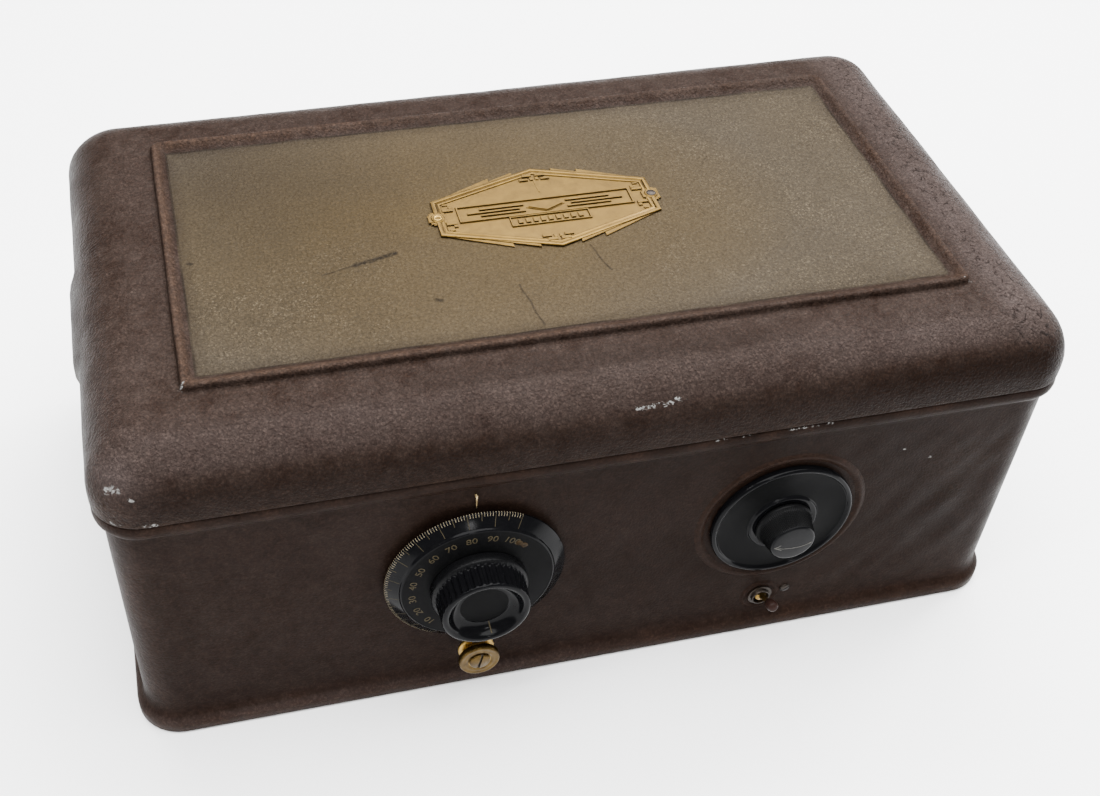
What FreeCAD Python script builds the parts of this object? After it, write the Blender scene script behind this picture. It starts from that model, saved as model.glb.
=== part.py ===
import FreeCAD, Part
import math
import os

# A metal-cased, lift-lid table radio receiver of the late 1920s: three tuning
# condensers ganged by tape belts, seven valves, a mains power unit and four controls.
# Millimetres. Origin at the middle of the base, +X right, +Y back, +Z up.

# Case and lid: half sizes are to the outer faces.
SHEET = 1.5
CASE_HALF_X = 218.6
CASE_HALF_Y = 126.5
CASE_CORNER = 17.5
LID_HALF_X = 222.25
LID_HALF_Y = 130.4
LID_CORNER = 22.0
LID_EDGE = 28.5
LID_BOTTOM = 148.8
LID_TOP = 183.4
LID_EDGE_STEPS = 6
CORNER_TIGHTENING = 0.6
SPIGOT_TOP = 157.0
PLINTH_OUT = 4.0
RIM_OUT = 3.6
FLANGE_IN = 16.0
BOTTOM_SHEET = 1.2

# Raised moulding and badge on the lid.
MOULDING_HALF_X = 179.0
MOULDING_HALF_Y = 90.5
PANEL_HALF_X = 171.6
PANEL_HALF_Y = 81.7
MOULDING_CREST = 186.6
BADGE_X = 1.8
BADGE_Y = 3.8
BADGE_HALF_X = 54.3
BADGE_HALF_Y = 31.5
BADGE_SHOULDER = 13.4
BADGE_TAB_X = 57.0
BADGE_TAB_HALF = 4.2
BADGE_THICK = 1.4
BADGE_SCREW_X = 53.0

# Finger grips pressed out of the lid's two ends.
GRIP_Y = -8.0
GRIP_HALF = 35.5
GRIP_OUT = 2.7
GRIP_RAMP = 11.0
GRIP_TOP = 171.0

# Controls on the front.
FRONT = -CASE_HALF_Y
DIAL_X = -61.7
DIAL_Z = 83.2
DIAL_R = 42.3
KNOB_R = 22.5
POINTER_TOP = 134.8
TRIMMER_Z = 35.4
SLOT_TILT = 13.0
VOLUME_X = 89.0
ESCUTCHEON_R = 35.6
TOGGLE_X = 88.7
TOGGLE_Z = 24.0
TOGGLE_TILT = 28.0
SHAFT_R = 3.175
TRIMMER_SHAFT_R = 2.5
RUNNING = 0.05

# Threads and screws through the sheet, their holes wider by a clearance.
TUNING_THREAD_R = 6.2
VOLUME_THREAD_R = 5.0
TRIMMER_THREAD_R = 4.0
SWITCH_THREAD_R = 4.8
SWITCH_BORE_R = 4.1
HOLE_CLEAR = 0.2
SCREW_R = 1.6
SCREW_HOLE_R = 1.7
SCREW_HEAD_R = 3.0
PLATE_SCREW_X = TOGGLE_X + 13.3
PLATE_SCREW_Z = TOGGLE_Z + 2.0
PLATE_SCREW_R = 1.5
POINTER_R = 0.6
SET_SCREW_R = 2.0
VOLUME_RING_R = 40.7
SWITCH_RING_R = 9.4

# Chassis and what stands on it.
DECK_TOP = 45.5
DECK_HALF_X = 211.0
DECK_FRONT = -92.0
DECK_BACK = 115.0
GANG_PITCH = 93.3
GANG_X = (DIAL_X - GANG_PITCH, DIAL_X, DIAL_X + GANG_PITCH)
GANG_FRONT = -88.0
GANG_BACK = -30.0
ROTOR_R = 30.0
PLATE = 0.8
PLATE_PITCH = 4.4
PLATE_COUNT = 11
STATOR_BAR_X = 26.5
STATOR_BAR_Z = DIAL_Z - 16.0
READING = 83.6
PULLEY_R = 18.0
LEFT_BELT_Y = -98.0
RIGHT_BELT_Y = -104.0
BELT_WIDTH = 3.0
COIL_R = 17.0
COIL_Y = 2.0
VALVE_Y = 76.0
VALVE_X = (-182.0, -130.0, -78.0, -26.0, 26.0, 78.0)
BULB_R = 23.0
BULB_HEIGHT = 88.0
RECTIFIER_HEIGHT = 96.0
SOCKET_HOLE_R = 15.0
RECTIFIER_X = 165.0
RECTIFIER_Y = 2.0
TERMINAL_X = (-170.0, -135.0, -100.0)
TERMINAL_Z = 30.0
GLAND_X = 170.0
GLAND_Z = 28.0
GLAND_BORE = 3.6
GLAND_NECK = 11.2
GLAND_R = 8.5
POST_R = 2.4
POST_TIP_R = 2.0
LEAD_R = 1.2
LEAD_HOLE_X = TOGGLE_X + 73.0
LEAD_HOLE_Y = 60.0

# Power unit: (left, right, front, back) of each block on the deck.
TRANSFORMER_PLAN = (132.0, 202.0, 36.0, 108.0)
FILTER_PLAN = (127.0, 203.0, -84.0, -34.0)
AUDIO_PLANS = ((78.0, 118.0, -84.0, -42.0), (78.0, 118.0, -34.0, 8.0))
BYPASS_PLANS = ((-60.0, -20.0, -40.0, 10.0), (0.0, 40.0, -40.0, 10.0))


def vec(x, y, z):
    return FreeCAD.Vector(x, y, z)


def box(x0, x1, y0, y1, z0, z1):
    return Part.makeBox(x1 - x0, y1 - y0, z1 - z0, vec(x0, y0, z0))


def rod_y(radius, x, z, y0, y1):
    return Part.makeCylinder(radius, y1 - y0, vec(x, y0, z), vec(0, 1, 0))


def rod_z(radius, x, y, z0, z1):
    return Part.makeCylinder(radius, z1 - z0, vec(x, y, z0), vec(0, 0, 1))


def tube_y(outer, inner, x, z, y0, y1):
    return rod_y(outer, x, z, y0, y1).cut(rod_y(inner, x, z, y0, y1))


def tube_z(outer, inner, x, y, z0, z1):
    return rod_z(outer, x, y, z0, z1).cut(rod_z(inner, x, y, z0, z1))


def lead(points, radius):
    """Round insulated lead: straight runs joined by tangent arcs."""
    edges = []
    here = points[0]
    for before, corner, after in zip(points, points[1:], points[2:]):
        arriving = (corner - before).normalize()
        leaving = (after - corner).normalize()
        trim = 0.45 * min((corner - before).Length, (after - corner).Length)
        half_turn = arriving.getAngle(leaving) / 2
        bend = trim / math.tan(half_turn)
        inward = (leaving - arriving).normalize()
        middle = corner + inward * (bend / math.cos(half_turn) - bend)
        start, finish = corner - arriving * trim, corner + leaving * trim
        edges.append(Part.makeLine(here, start))
        edges.append(Part.Arc(start, middle, finish).toShape())
        here = finish
    edges.append(Part.makeLine(here, points[-1]))
    circle = Part.Wire(Part.makeCircle(radius, points[0], points[1] - points[0]))
    return Part.Wire(edges).makePipeShell([circle], True, True)


def turned_y(points, x, z):
    """Solid of revolution about an axis along Y; points are (radius, y)."""
    wire = Part.makePolygon([vec(x + r, y, z) for r, y in points + points[:1]])
    return Part.Face(wire).revolve(vec(x, 0, z), vec(0, 1, 0), 360)


def turned_z(points, x, y):
    """Solid of revolution about an axis along Z; points are (radius, z)."""
    wire = Part.makePolygon([vec(x + r, y, z) for r, z in points + points[:1]])
    return Part.Face(wire).revolve(vec(x, y, 0), vec(0, 0, 1), 360)


def plate(points, z0, z1):
    """Flat plate with a straight-sided outline in plan."""
    wire = Part.makePolygon([vec(x, y, z0) for x, y in points + points[:1]])
    return Part.Face(wire).extrude(vec(0, 0, z1 - z0))


def around(shape, angle, x, z):
    """Shape turned about the Y axis through (x, z), clockwise seen from the front."""
    return shape.rotated(vec(x, 0, z), vec(0, 1, 0), angle)


def rounded_outline(half_x, half_y, radius, z):
    """Closed outline of a rounded rectangle at height z."""
    edges = []
    ends = []
    for quarter, (side_x, side_y) in enumerate(((1, 1), (-1, 1), (-1, -1), (1, -1))):
        arc = []
        for part in (0, 45, 90):
            angle = math.radians(90 * quarter + part)
            x = side_x * (half_x - radius) + radius * math.cos(angle)
            y = side_y * (half_y - radius) + radius * math.sin(angle)
            arc.append(vec(x, y, z))
        edges.append(Part.Arc(*arc).toShape())
        ends.append((arc[0], arc[2]))
    for corner in range(4):
        start = ends[corner][1]
        finish = ends[(corner + 1) % 4][0]
        edges.insert(2 * corner + 1, Part.makeLine(start, finish))
    return Part.Wire(edges)


def rounded_block(half_x, half_y, radius, z0, z1):
    outline = rounded_outline(half_x, half_y, radius, z0)
    return Part.Face(outline).extrude(vec(0, 0, z1 - z0))


def fused(shapes):
    whole = shapes[0]
    if len(shapes) > 1:
        whole = whole.fuse(shapes[1:])
    return whole.removeSplitter()


def cut_all(shape, tools):
    for tool in tools:
        shape = shape.cut(tool)
    return shape


def save(node, solids):
    """Writes a node: one solid, or a group of separate solids."""
    shape = solids if isinstance(solids, Part.Shape) else Part.makeCompound(solids)
    if not shape.isValid():
        print("not valid:", node)
    if isinstance(solids, Part.Shape) and len(shape.Solids) != 1:
        print("not one solid:", node, len(shape.Solids))
    shape.exportStep("parts/" + node + ".step")


# ---- case and lid ----

def case_wall():
    """Plinth, wall, rolled rim and spigot: one section carried round the case."""
    y = FRONT
    out = vec(0, -1, 0)

    def at(outward, z):
        return vec(0, y, z) + out * outward

    nose = Part.Arc(at(PLINTH_OUT - 1.6, 0), at(PLINTH_OUT - 0.45, 0.5), at(PLINTH_OUT, 1.8)).toShape()
    shoulder = Part.Arc(at(PLINTH_OUT, 7.0), at(3.6, 8.2), at(2.8, 9.0)).toShape()
    cove = Part.Arc(at(2.8, 9.0), at(0.7, 10.8), at(0, 13.5)).toShape()
    rim = Part.Arc(at(0, 139.5), at(RIM_OUT, 144.2), at(2.4, LID_BOTTOM)).toShape()
    corners = [
        at(2.4, LID_BOTTOM), at(1.4, LID_BOTTOM), at(1.4, SPIGOT_TOP), at(-0.1, SPIGOT_TOP),
        at(-0.1, 149.5), at(-SHEET, 146.0), at(-SHEET, BOTTOM_SHEET + SHEET),
        at(-FLANGE_IN, BOTTOM_SHEET + SHEET), at(-FLANGE_IN, BOTTOM_SHEET),
        at(-3.6, BOTTOM_SHEET), at(-3.6, 0), at(PLINTH_OUT - 1.6, 0),
    ]
    inner = [Part.makeLine(a, b) for a, b in zip(corners, corners[1:])]
    side = Part.makeLine(at(PLINTH_OUT, 1.8), at(PLINTH_OUT, 7.0))
    face_line = Part.makeLine(at(0, 13.5), at(0, 139.5))
    section = Part.Wire([nose, side, shoulder, cove, face_line, rim] + inner)
    half_run_x = CASE_HALF_X - CASE_CORNER
    half_run_y = CASE_HALF_Y - CASE_CORNER
    front_face = Part.Face(section)
    front_face.translate(vec(-half_run_x, 0, 0))
    front = front_face.extrude(vec(2 * half_run_x, 0, 0))
    corner_face = Part.Face(section)
    corner_face.translate(vec(half_run_x, 0, 0))
    axis = vec(half_run_x, -half_run_y, 0)
    corner = corner_face.revolve(axis, vec(0, 0, 1), 90)
    side_face = corner_face.copy()
    side_face.rotate(axis, vec(0, 0, 1), 90)
    end = side_face.extrude(vec(0, 2 * half_run_y, 0))
    pieces = [front, corner, end]
    pieces.append(corner.mirror(vec(0, 0, 0), vec(0, 1, 0)))
    pieces.append(front.mirror(vec(0, 0, 0), vec(0, 1, 0)))
    for piece in pieces[1:4]:
        pieces.append(piece.mirror(vec(0, 0, 0), vec(1, 0, 0)))
    return fused(pieces)


def ring_boss(radius, x, z, width, height):
    """Half-round ring pressed out of the front sheet."""
    base = FRONT + 0.3
    points = [(radius - width / 2, base), (radius - width / 4, FRONT - height * 0.8)]
    points += [(radius, FRONT - height), (radius + width / 4, FRONT - height * 0.8)]
    points += [(radius + width / 2, base)]
    return turned_y(points, x, z)


def gland_seat(y0, y1, clear):
    """Square neck of the cord gland, or the opening round it."""
    half = GLAND_NECK / 2 + clear
    return box(GLAND_X - half, GLAND_X + half, y0, y1, GLAND_Z - half, GLAND_Z + half)


def make_case():
    wall = case_wall()
    wall = fused([
        wall,
        ring_boss(VOLUME_RING_R, VOLUME_X, DIAL_Z, 4.4, 1.0),
        ring_boss(SWITCH_RING_R, TOGGLE_X, TOGGLE_Z, 2.6, 0.7),
    ])
    through = FRONT - 3, FRONT + SHEET + 2
    holes = [
        rod_y(TUNING_THREAD_R + HOLE_CLEAR, DIAL_X, DIAL_Z, *through),
        rod_y(POINTER_R, DIAL_X, POINTER_TOP - POINTER_R, *through),
        rod_y(VOLUME_THREAD_R + HOLE_CLEAR, VOLUME_X, DIAL_Z, *through),
        rod_y(TRIMMER_THREAD_R + HOLE_CLEAR, DIAL_X, TRIMMER_Z, *through),
        rod_y(SWITCH_THREAD_R + HOLE_CLEAR, TOGGLE_X, TOGGLE_Z, *through),
        rod_y(PLATE_SCREW_R + HOLE_CLEAR / 2, PLATE_SCREW_X, PLATE_SCREW_Z, *through),
        gland_seat(CASE_HALF_Y - SHEET - 2, CASE_HALF_Y + 2, 0),
    ]
    for x in TERMINAL_X:
        holes.append(rod_y(POST_R + 1.6, x, TERMINAL_Z, CASE_HALF_Y - SHEET - 2, CASE_HALF_Y + 2))
    for x, y in bottom_screw_places():
        holes.append(rod_z(SCREW_HOLE_R, x, y, 0.5, 4))
    for x, y in chassis_screw_places():
        holes.append(rod_z(SCREW_HOLE_R, x, y, 0.5, 4))
    save("case_body", cut_all(wall, holes))


def domed_block(inset):
    """Lid form drawn in by inset: upright sides, then a rounded top edge."""
    turn = LID_EDGE - inset
    edge_z = LID_TOP - LID_EDGE
    wires = []
    for step in range(LID_EDGE_STEPS + 1):
        angle = math.radians(90 * step / LID_EDGE_STEPS)
        draw = LID_EDGE - turn * math.cos(angle)
        radius = LID_CORNER - inset - CORNER_TIGHTENING * (draw - inset)
        z = edge_z + turn * math.sin(angle)
        wires.append(rounded_outline(LID_HALF_X - draw, LID_HALF_Y - draw, radius, z))
    dome = Part.makeLoft(wires, True, False)
    skirt = rounded_block(LID_HALF_X - inset, LID_HALF_Y - inset, LID_CORNER - inset, LID_BOTTOM, edge_z)
    return skirt.fuse(dome)


def grip(side):
    """Shallow bulge pressed out of one end of the lid, sloping into it all round."""
    inner = LID_HALF_X - 6.0
    outer = LID_HALF_X + GRIP_OUT
    near, far = GRIP_Y - GRIP_HALF, GRIP_Y + GRIP_HALF
    outline = [(inner, near), (LID_HALF_X, near), (outer, near + GRIP_RAMP)]
    outline += [(outer, far - GRIP_RAMP), (LID_HALF_X, far), (inner, far)]
    bulge = plate([(side * x, y) for x, y in outline], LID_BOTTOM, GRIP_TOP)
    section = [(inner, LID_BOTTOM), (outer, LID_BOTTOM), (outer, GRIP_TOP - 13), (inner, GRIP_TOP)]
    wire = Part.makePolygon([vec(side * x, near, z) for x, z in section + section[:1]])
    return bulge.common(Part.Face(wire).extrude(vec(0, far - near, 0)))


def make_lid():
    shell = domed_block(0).fuse([grip(1), grip(-1)]).cut(domed_block(SHEET))
    ring = rounded_block(MOULDING_HALF_X, MOULDING_HALF_Y, 4.0, LID_TOP - 0.5, MOULDING_CREST)
    crest_edges = [e for e in ring.Edges if e.BoundBox.ZMin > MOULDING_CREST - 0.01]
    ring = ring.makeFillet(1.6, crest_edges)
    ring = ring.cut(rounded_block(PANEL_HALF_X, PANEL_HALF_Y, 3.0, LID_TOP - 1, MOULDING_CREST + 1))
    shell = fused([shell, ring])
    for side in (-1, 1):
        place = BADGE_X + side * BADGE_SCREW_X
        shell = shell.cut(rod_z(1.4, place, BADGE_Y, LID_TOP - 3, LID_TOP + 1))
    save("lid", shell)


def badge_outline():
    """Long hexagon with two fins stepping out of each sloping edge and a tab at each end."""
    quarter = [
        (BADGE_TAB_X, BADGE_TAB_HALF), (BADGE_HALF_X, BADGE_TAB_HALF), (BADGE_HALF_X, BADGE_SHOULDER),
        (22.3, 27.6), (22.3, 26.3), (9.9, 30.0), (9.9, 28.2), (0, BADGE_HALF_Y),
    ]
    upper = quarter + [(-x, y) for x, y in reversed(quarter[:-1])]
    lower = [(-x, -y) for x, y in upper]
    return [(x + BADGE_X, y + BADGE_Y) for x, y in upper + lower]


def badge_plate(corners, low, high):
    """Plate between two heights above the panel, its corners given from the middle of the badge."""
    placed = [(x + BADGE_X, y + BADGE_Y) for x, y in corners]
    return plate(placed, LID_TOP + low, LID_TOP + high)


def make_badge():
    base = LID_TOP
    top = base + BADGE_THICK
    plaque = plate(badge_outline(), base, top)
    sunk = [(46.0, 13.0), (0, 27.0), (-46.0, 13.0)]
    sunk += [(-x, -y) for x, y in sunk]
    plaque = plaque.cut(badge_plate(sunk, 0.8, BADGE_THICK + 1))
    ribbon = [(-43.4, -5.5), (43.4, -5.5), (43.4, 7.1), (-43.4, 7.1)]
    lower_ribbon = [(-19.8, -13.0), (19.8, -13.0), (19.8, -5.5), (-19.8, -5.5)]
    plaque = fused([plaque, badge_plate(ribbon, 0.5, 1.2), badge_plate(lower_ribbon, 0.5, 1.2)])
    screws = []
    for side in (-1, 1):
        x = BADGE_X + side * BADGE_SCREW_X
        plaque = plaque.cut(rod_z(1.5, x, BADGE_Y, base - 1, base + 4))
        screws.append(turned_z([(0, base - 2.8), (1.4, base - 2.8), (1.4, top), (2.6, top),
                                (2.2, top + 0.7), (0, top + 1.0)], x, BADGE_Y))
    save("badge", plaque.removeSplitter())
    save("badge_screws", screws)


def bottom_screw_places():
    return [(x, y) for x in (-205, -70, 70, 205) for y in (-117, 117)]


def make_bottom():
    sheet = rounded_block(CASE_HALF_X - 4, CASE_HALF_Y - 4, 13.5, 0, BOTTOM_SHEET)
    screws = []
    for x, y in bottom_screw_places():
        cone = turned_z([(0, 0), (SCREW_HEAD_R, 0), (SCREW_R, BOTTOM_SHEET), (0, BOTTOM_SHEET)], x, y)
        sheet = sheet.cut(cone)
        screws.append(cone.fuse(rod_z(SCREW_R, x, y, BOTTOM_SHEET, 5.0)).removeSplitter())
    save("bottom_plate", sheet)
    save("bottom_screws", screws)


# ---- tuning controls ----

def make_dial():
    face = FRONT
    profile = [
        (3.3, face - 3), (DIAL_R, face - 3), (DIAL_R, face - 4.2), (36.0, face - 7.6), (35.6, face - 9.0),
        (24.0, face - 9.4), (KNOB_R + 0.2, face - 9.6), (3.3, face - 9.6),
    ]
    save("dial_disc", turned_y(profile, DIAL_X, DIAL_Z))

    knob = turned_y([
        (3.3, face - 9.6), (KNOB_R, face - 9.6), (KNOB_R, face - 14.5), (20.9, face - 15.0),
        (20.4, face - 26.0), (19.4, face - 27.0), (17.2, face - 27.0), (15.4, face - 23.5),
        (11.6, face - 21.6), (3.3, face - 21.6),
    ], DIAL_X, DIAL_Z)
    knob = knob.fuse(rod_y(4.0, DIAL_X, DIAL_Z, face - 21.6, face - 18.6)).removeSplitter()
    grip_cut = rod_y(1.1, DIAL_X, DIAL_Z + 21.4, face - 27.5, face - 15.2)
    count = 40
    grooves = [around(grip_cut, 360 * step / count, DIAL_X, DIAL_Z) for step in range(count)]
    knob = knob.cut(Part.makeCompound(grooves))
    screw_hole = rod_z(SET_SCREW_R, DIAL_X, face - 12, DIAL_Z + 3, DIAL_Z + KNOB_R + 1)
    save("tuning_knob", knob.cut(screw_hole))
    save("knob_set_screw", rod_z(SET_SCREW_R, DIAL_X, face - 12, DIAL_Z + SHAFT_R, DIAL_Z + 14))

    tip = DIAL_Z + DIAL_R + 0.8
    pointer = box(DIAL_X - 0.5, DIAL_X + 0.5, face - 2.2, face - 1.2, tip, POINTER_TOP)
    foot = rod_y(POINTER_R, DIAL_X, POINTER_TOP - POINTER_R, face - 2.2, face + 4.0)
    save("dial_pointer", pointer.fuse(foot).removeSplitter())


def panel_bushing(x, z, thread_r, head_r, bore_r, head, tail):
    """Turned brass bush through the front sheet: head outside, threaded tail inside."""
    points = [(bore_r, FRONT - head), (head_r, FRONT - head), (head_r, FRONT), (thread_r, FRONT)]
    points += [(thread_r, FRONT + tail), (bore_r, FRONT + tail)]
    return turned_y(points, x, z)


def hex_nut(x, z, bore_r, across, y0, thick):
    reach = across / 2 / math.cos(math.radians(30))
    corners = []
    for step in range(7):
        angle = math.radians(60 * step)
        corners.append(vec(x + reach * math.cos(angle), y0, z + reach * math.sin(angle)))
    nut = Part.Face(Part.makePolygon(corners)).extrude(vec(0, thick, 0))
    return nut.cut(rod_y(bore_r, x, z, y0 - 1, y0 + thick + 1))


def make_bushings():
    inside = FRONT + SHEET
    save("shaft_bushings", [
        panel_bushing(DIAL_X, DIAL_Z, TUNING_THREAD_R, 9.0, SHAFT_R + RUNNING, 2.0, 9.0),
        panel_bushing(VOLUME_X, DIAL_Z, VOLUME_THREAD_R, 8.0, SHAFT_R + RUNNING, 1.4, 6.5),
        panel_bushing(DIAL_X, TRIMMER_Z, TRIMMER_THREAD_R, 6.0, TRIMMER_SHAFT_R + RUNNING, 1.5, 6.0),
    ])
    nuts = [
        hex_nut(DIAL_X, DIAL_Z, TUNING_THREAD_R, 16.0, inside, 3.0),
        hex_nut(VOLUME_X, DIAL_Z, VOLUME_THREAD_R, 14.0, inside, 2.6),
        hex_nut(DIAL_X, TRIMMER_Z, TRIMMER_THREAD_R, 11.0, inside, 2.4),
        hex_nut(TOGGLE_X, TOGGLE_Z, SWITCH_THREAD_R, 13.0, inside, 2.4),
    ]
    save("bushing_nuts", nuts)


def make_trimmer():
    """Small trimming condenser behind the brass thumb knob."""
    face = FRONT
    knob = turned_y([
        (TRIMMER_SHAFT_R, face - 2.0), (5.0, face - 2.0), (5.0, face - 7.4), (8.0, face - 8.2),
        (8.8, face - 8.8), (8.8, face - 10.4), (5.6, face - 11.4), (5.6, face - 13.0), (9.6, face - 14.0),
        (10.5, face - 14.6), (10.5, face - 17.4), (9.8, face - 18.0), (6.6, face - 18.0), (6.4, face - 17.4),
        (TRIMMER_SHAFT_R, face - 17.4),
    ], DIAL_X, TRIMMER_Z)
    save("thumb_knob", knob)
    screw = turned_y([
        (0, face - 18.6), (4.4, face - 18.6), (5.0, face - 18.0), (5.0, face - 17.4), (0, face - 17.4),
    ], DIAL_X, TRIMMER_Z)
    slot = box(DIAL_X - 0.6, DIAL_X + 0.6, face - 19.5, face - 17.9, TRIMMER_Z - 6, TRIMMER_Z + 6)
    save("thumb_knob_screw", screw.cut(around(slot, SLOT_TILT, DIAL_X, TRIMMER_Z)))
    save("trimmer_shaft", rod_y(TRIMMER_SHAFT_R, DIAL_X, TRIMMER_Z, face - 17.4, face + 21.0))

    back = face + 24.0
    base = box(DIAL_X - 17, DIAL_X + 17, back - 12, back - 10, TRIMMER_Z - 14, TRIMMER_Z + 22)
    front_cheek = box(DIAL_X - 17, DIAL_X + 17, face + 6.5, face + 8.5, TRIMMER_Z - 14, TRIMMER_Z + 22)
    edges = DIAL_X - 17, DIAL_X + 14
    posts = [box(x, x + 3, face + 8.5, back - 12, TRIMMER_Z + 19, TRIMMER_Z + 22) for x in edges]
    frame = fused([base, front_cheek] + posts)
    frame = frame.cut(rod_y(TRIMMER_SHAFT_R + RUNNING, DIAL_X, TRIMMER_Z, face, back))
    save("trimmer_frame", frame)
    vane = half_disc(12.0, DIAL_X, TRIMMER_Z, back - 8.4, back - 7.6, 90)
    hub = rod_y(4.0, DIAL_X, TRIMMER_Z, back - 9.4, back - 6.0)
    bore = rod_y(TRIMMER_SHAFT_R, DIAL_X, TRIMMER_Z, back - 10, back - 5)
    save("trimmer_vane", vane.fuse(hub).cut(bore).removeSplitter())


def half_disc(radius, x, z, y0, y1, direction):
    """Half of a disc whose middle points in a clockwise direction from the top."""
    disc = rod_y(radius, x, z, y0, y1)
    half = disc.common(box(x - radius, x + radius, y0 - 1, y1 + 1, z, z + radius))
    return around(half, direction, x, z)


# ---- volume control and mains switch ----

def make_volume():
    face = FRONT
    plaque = turned_y([
        (8.4, face), (ESCUTCHEON_R, face), (ESCUTCHEON_R, face - 2.4), (34.3, face - 3.8),
        (33.2, face - 3.4), (32.4, face - 2.2), (17.6, face - 2.6), (16.7, face - 4.0), (8.4, face - 4.0),
    ], VOLUME_X, DIAL_Z)
    save("volume_escutcheon", plaque)
    knob = turned_y([
        (SHAFT_R, face - 4.4), (14.2, face - 4.4), (14.2, face - 6.0), (13.2, face - 7.0),
        (11.2, face - 16.2), (10.4, face - 17.2), (0, face - 17.2), (0, face - 14.0), (SHAFT_R, face - 14.0),
    ], VOLUME_X, DIAL_Z)
    save("volume_knob", knob)
    save("volume_shaft", rod_y(SHAFT_R, VOLUME_X, DIAL_Z, face - 14.0, face + 15.0))

    can = turned_y([
        (SHAFT_R + RUNNING, face + 6.5), (20.0, face + 6.5), (20.0, face + 24.0), (0, face + 24.0),
        (0, face + 22.5), (18.5, face + 22.5), (18.5, face + 8.0), (SHAFT_R + RUNNING, face + 8.0),
    ], VOLUME_X, DIAL_Z)
    save("volume_control_body", can)
    element = tube_y(18.3, 16.8, VOLUME_X, DIAL_Z, face + 9.0, face + 21.0)
    gap = box(VOLUME_X - 5, VOLUME_X + 5, face + 8, face + 22, DIAL_Z - 20, DIAL_Z - 10)
    save("resistance_element", element.cut(gap))
    arm = box(VOLUME_X - 16.2, VOLUME_X, face + 11.0, face + 13.0, DIAL_Z - 2.0, DIAL_Z + 2.0)
    hub = rod_y(5.0, VOLUME_X, DIAL_Z, face + 9.5, face + 14.5)
    arm = arm.fuse(hub).cut(rod_y(SHAFT_R, VOLUME_X, DIAL_Z, face + 9, face + 16)).removeSplitter()
    save("volume_wiper", arm)


def make_switch():
    face = FRONT
    bush = panel_bushing(TOGGLE_X, TOGGLE_Z, SWITCH_THREAD_R, 6.4, SWITCH_BORE_R, 0.9, 6.0)
    collar = tube_y(SWITCH_THREAD_R, SWITCH_BORE_R, TOGGLE_X, TOGGLE_Z, face - 2.6, face - 0.9)
    save("switch_bushing", bush.fuse(collar).removeSplitter())
    lever = turned_y([
        (0, face + 6.4), (1.6, face + 6.0), (1.6, face - 0.5), (1.4, face - 4.0), (2.1, face - 9.0),
        (2.9, face - 15.5), (2.7, face - 17.6), (1.6, face - 18.6), (0, face - 18.8),
    ], TOGGLE_X, TOGGLE_Z)
    lever.rotate(vec(TOGGLE_X, face + 1.0, TOGGLE_Z), vec(1, 0, 0), -TOGGLE_TILT)
    save("toggle_lever", lever)
    body = box(TOGGLE_X - 9, TOGGLE_X + 9, face + 6.0, face + 26.0, TOGGLE_Z - 13, TOGGLE_Z + 13)
    hollow = box(TOGGLE_X - 6, TOGGLE_X + 6, face + 5.0, face + 15.0, TOGGLE_Z - 8, TOGGLE_Z + 8)
    save("switch_body", body.cut(hollow))
    screw = turned_y([
        (0, face + 5.0), (PLATE_SCREW_R, face + 5.0), (PLATE_SCREW_R, face), (2.6, face), (2.2, face - 0.9),
        (0, face - 1.2),
    ], PLATE_SCREW_X, PLATE_SCREW_Z)
    save("switch_plate_screw", screw)


# ---- ganged tuning condensers ----

def gang_frame(x):
    """Base, two end plates and two tie bars of one variable condenser."""
    half = 31.0
    top = DIAL_Z + 34.0
    pieces = [box(x - half, x + half, GANG_FRONT, GANG_BACK, DECK_TOP, DECK_TOP + 2)]
    for y in (GANG_FRONT, GANG_BACK - 2):
        pieces.append(box(x - half, x + half, y, y + 2, DECK_TOP, top))
    for side in (-1, 1):
        edge = x + side * (half - 2)
        pieces.append(box(edge - 2, edge + 2, GANG_FRONT, GANG_BACK, top - 4, top))
    frame = fused(pieces)
    return frame.cut(rod_y(SHAFT_R + RUNNING, x, DIAL_Z, GANG_FRONT - 1, GANG_BACK + 1))


def stator(x):
    """Fixed half-round plates, carried by a bar at each side."""
    start = GANG_FRONT + 6.4
    pieces = []
    for step in range(PLATE_COUNT):
        y = start + step * PLATE_PITCH
        leaf = rod_y(ROTOR_R + 0.5, x, DIAL_Z, y, y + PLATE).cut(rod_y(9.0, x, DIAL_Z, y - 1, y + 2))
        leaf = leaf.common(box(x - 40, x + 40, y - 1, y + 2, DIAL_Z - 40, DIAL_Z - 3))
        pieces.append(leaf)
    for side in (-1, 1):
        edge = x + side * STATOR_BAR_X
        pieces.append(box(edge - 1.5, edge + 1.5, GANG_FRONT + 2.6, GANG_BACK - 2.6,
                          STATOR_BAR_Z, STATOR_BAR_Z + 4.0))
    return fused(pieces)


def rotor(x):
    """Moving half-round plates on a hub sleeve, part way out of mesh at the rest reading."""
    start = GANG_FRONT + 6.4 + PLATE_PITCH / 2
    direction = 180 + 180 * (100 - READING) / 100
    pieces = [rod_y(6.0, x, DIAL_Z, start - 1.5, start + (PLATE_COUNT - 1) * PLATE_PITCH - 1.5)]
    for step in range(PLATE_COUNT - 1):
        y = start + step * PLATE_PITCH
        pieces.append(half_disc(ROTOR_R - 5.0, x, DIAL_Z, y, y + PLATE, direction))
    whole = fused(pieces)
    return whole.cut(rod_y(SHAFT_R, x, DIAL_Z, start - 3, start + PLATE_COUNT * PLATE_PITCH))


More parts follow.
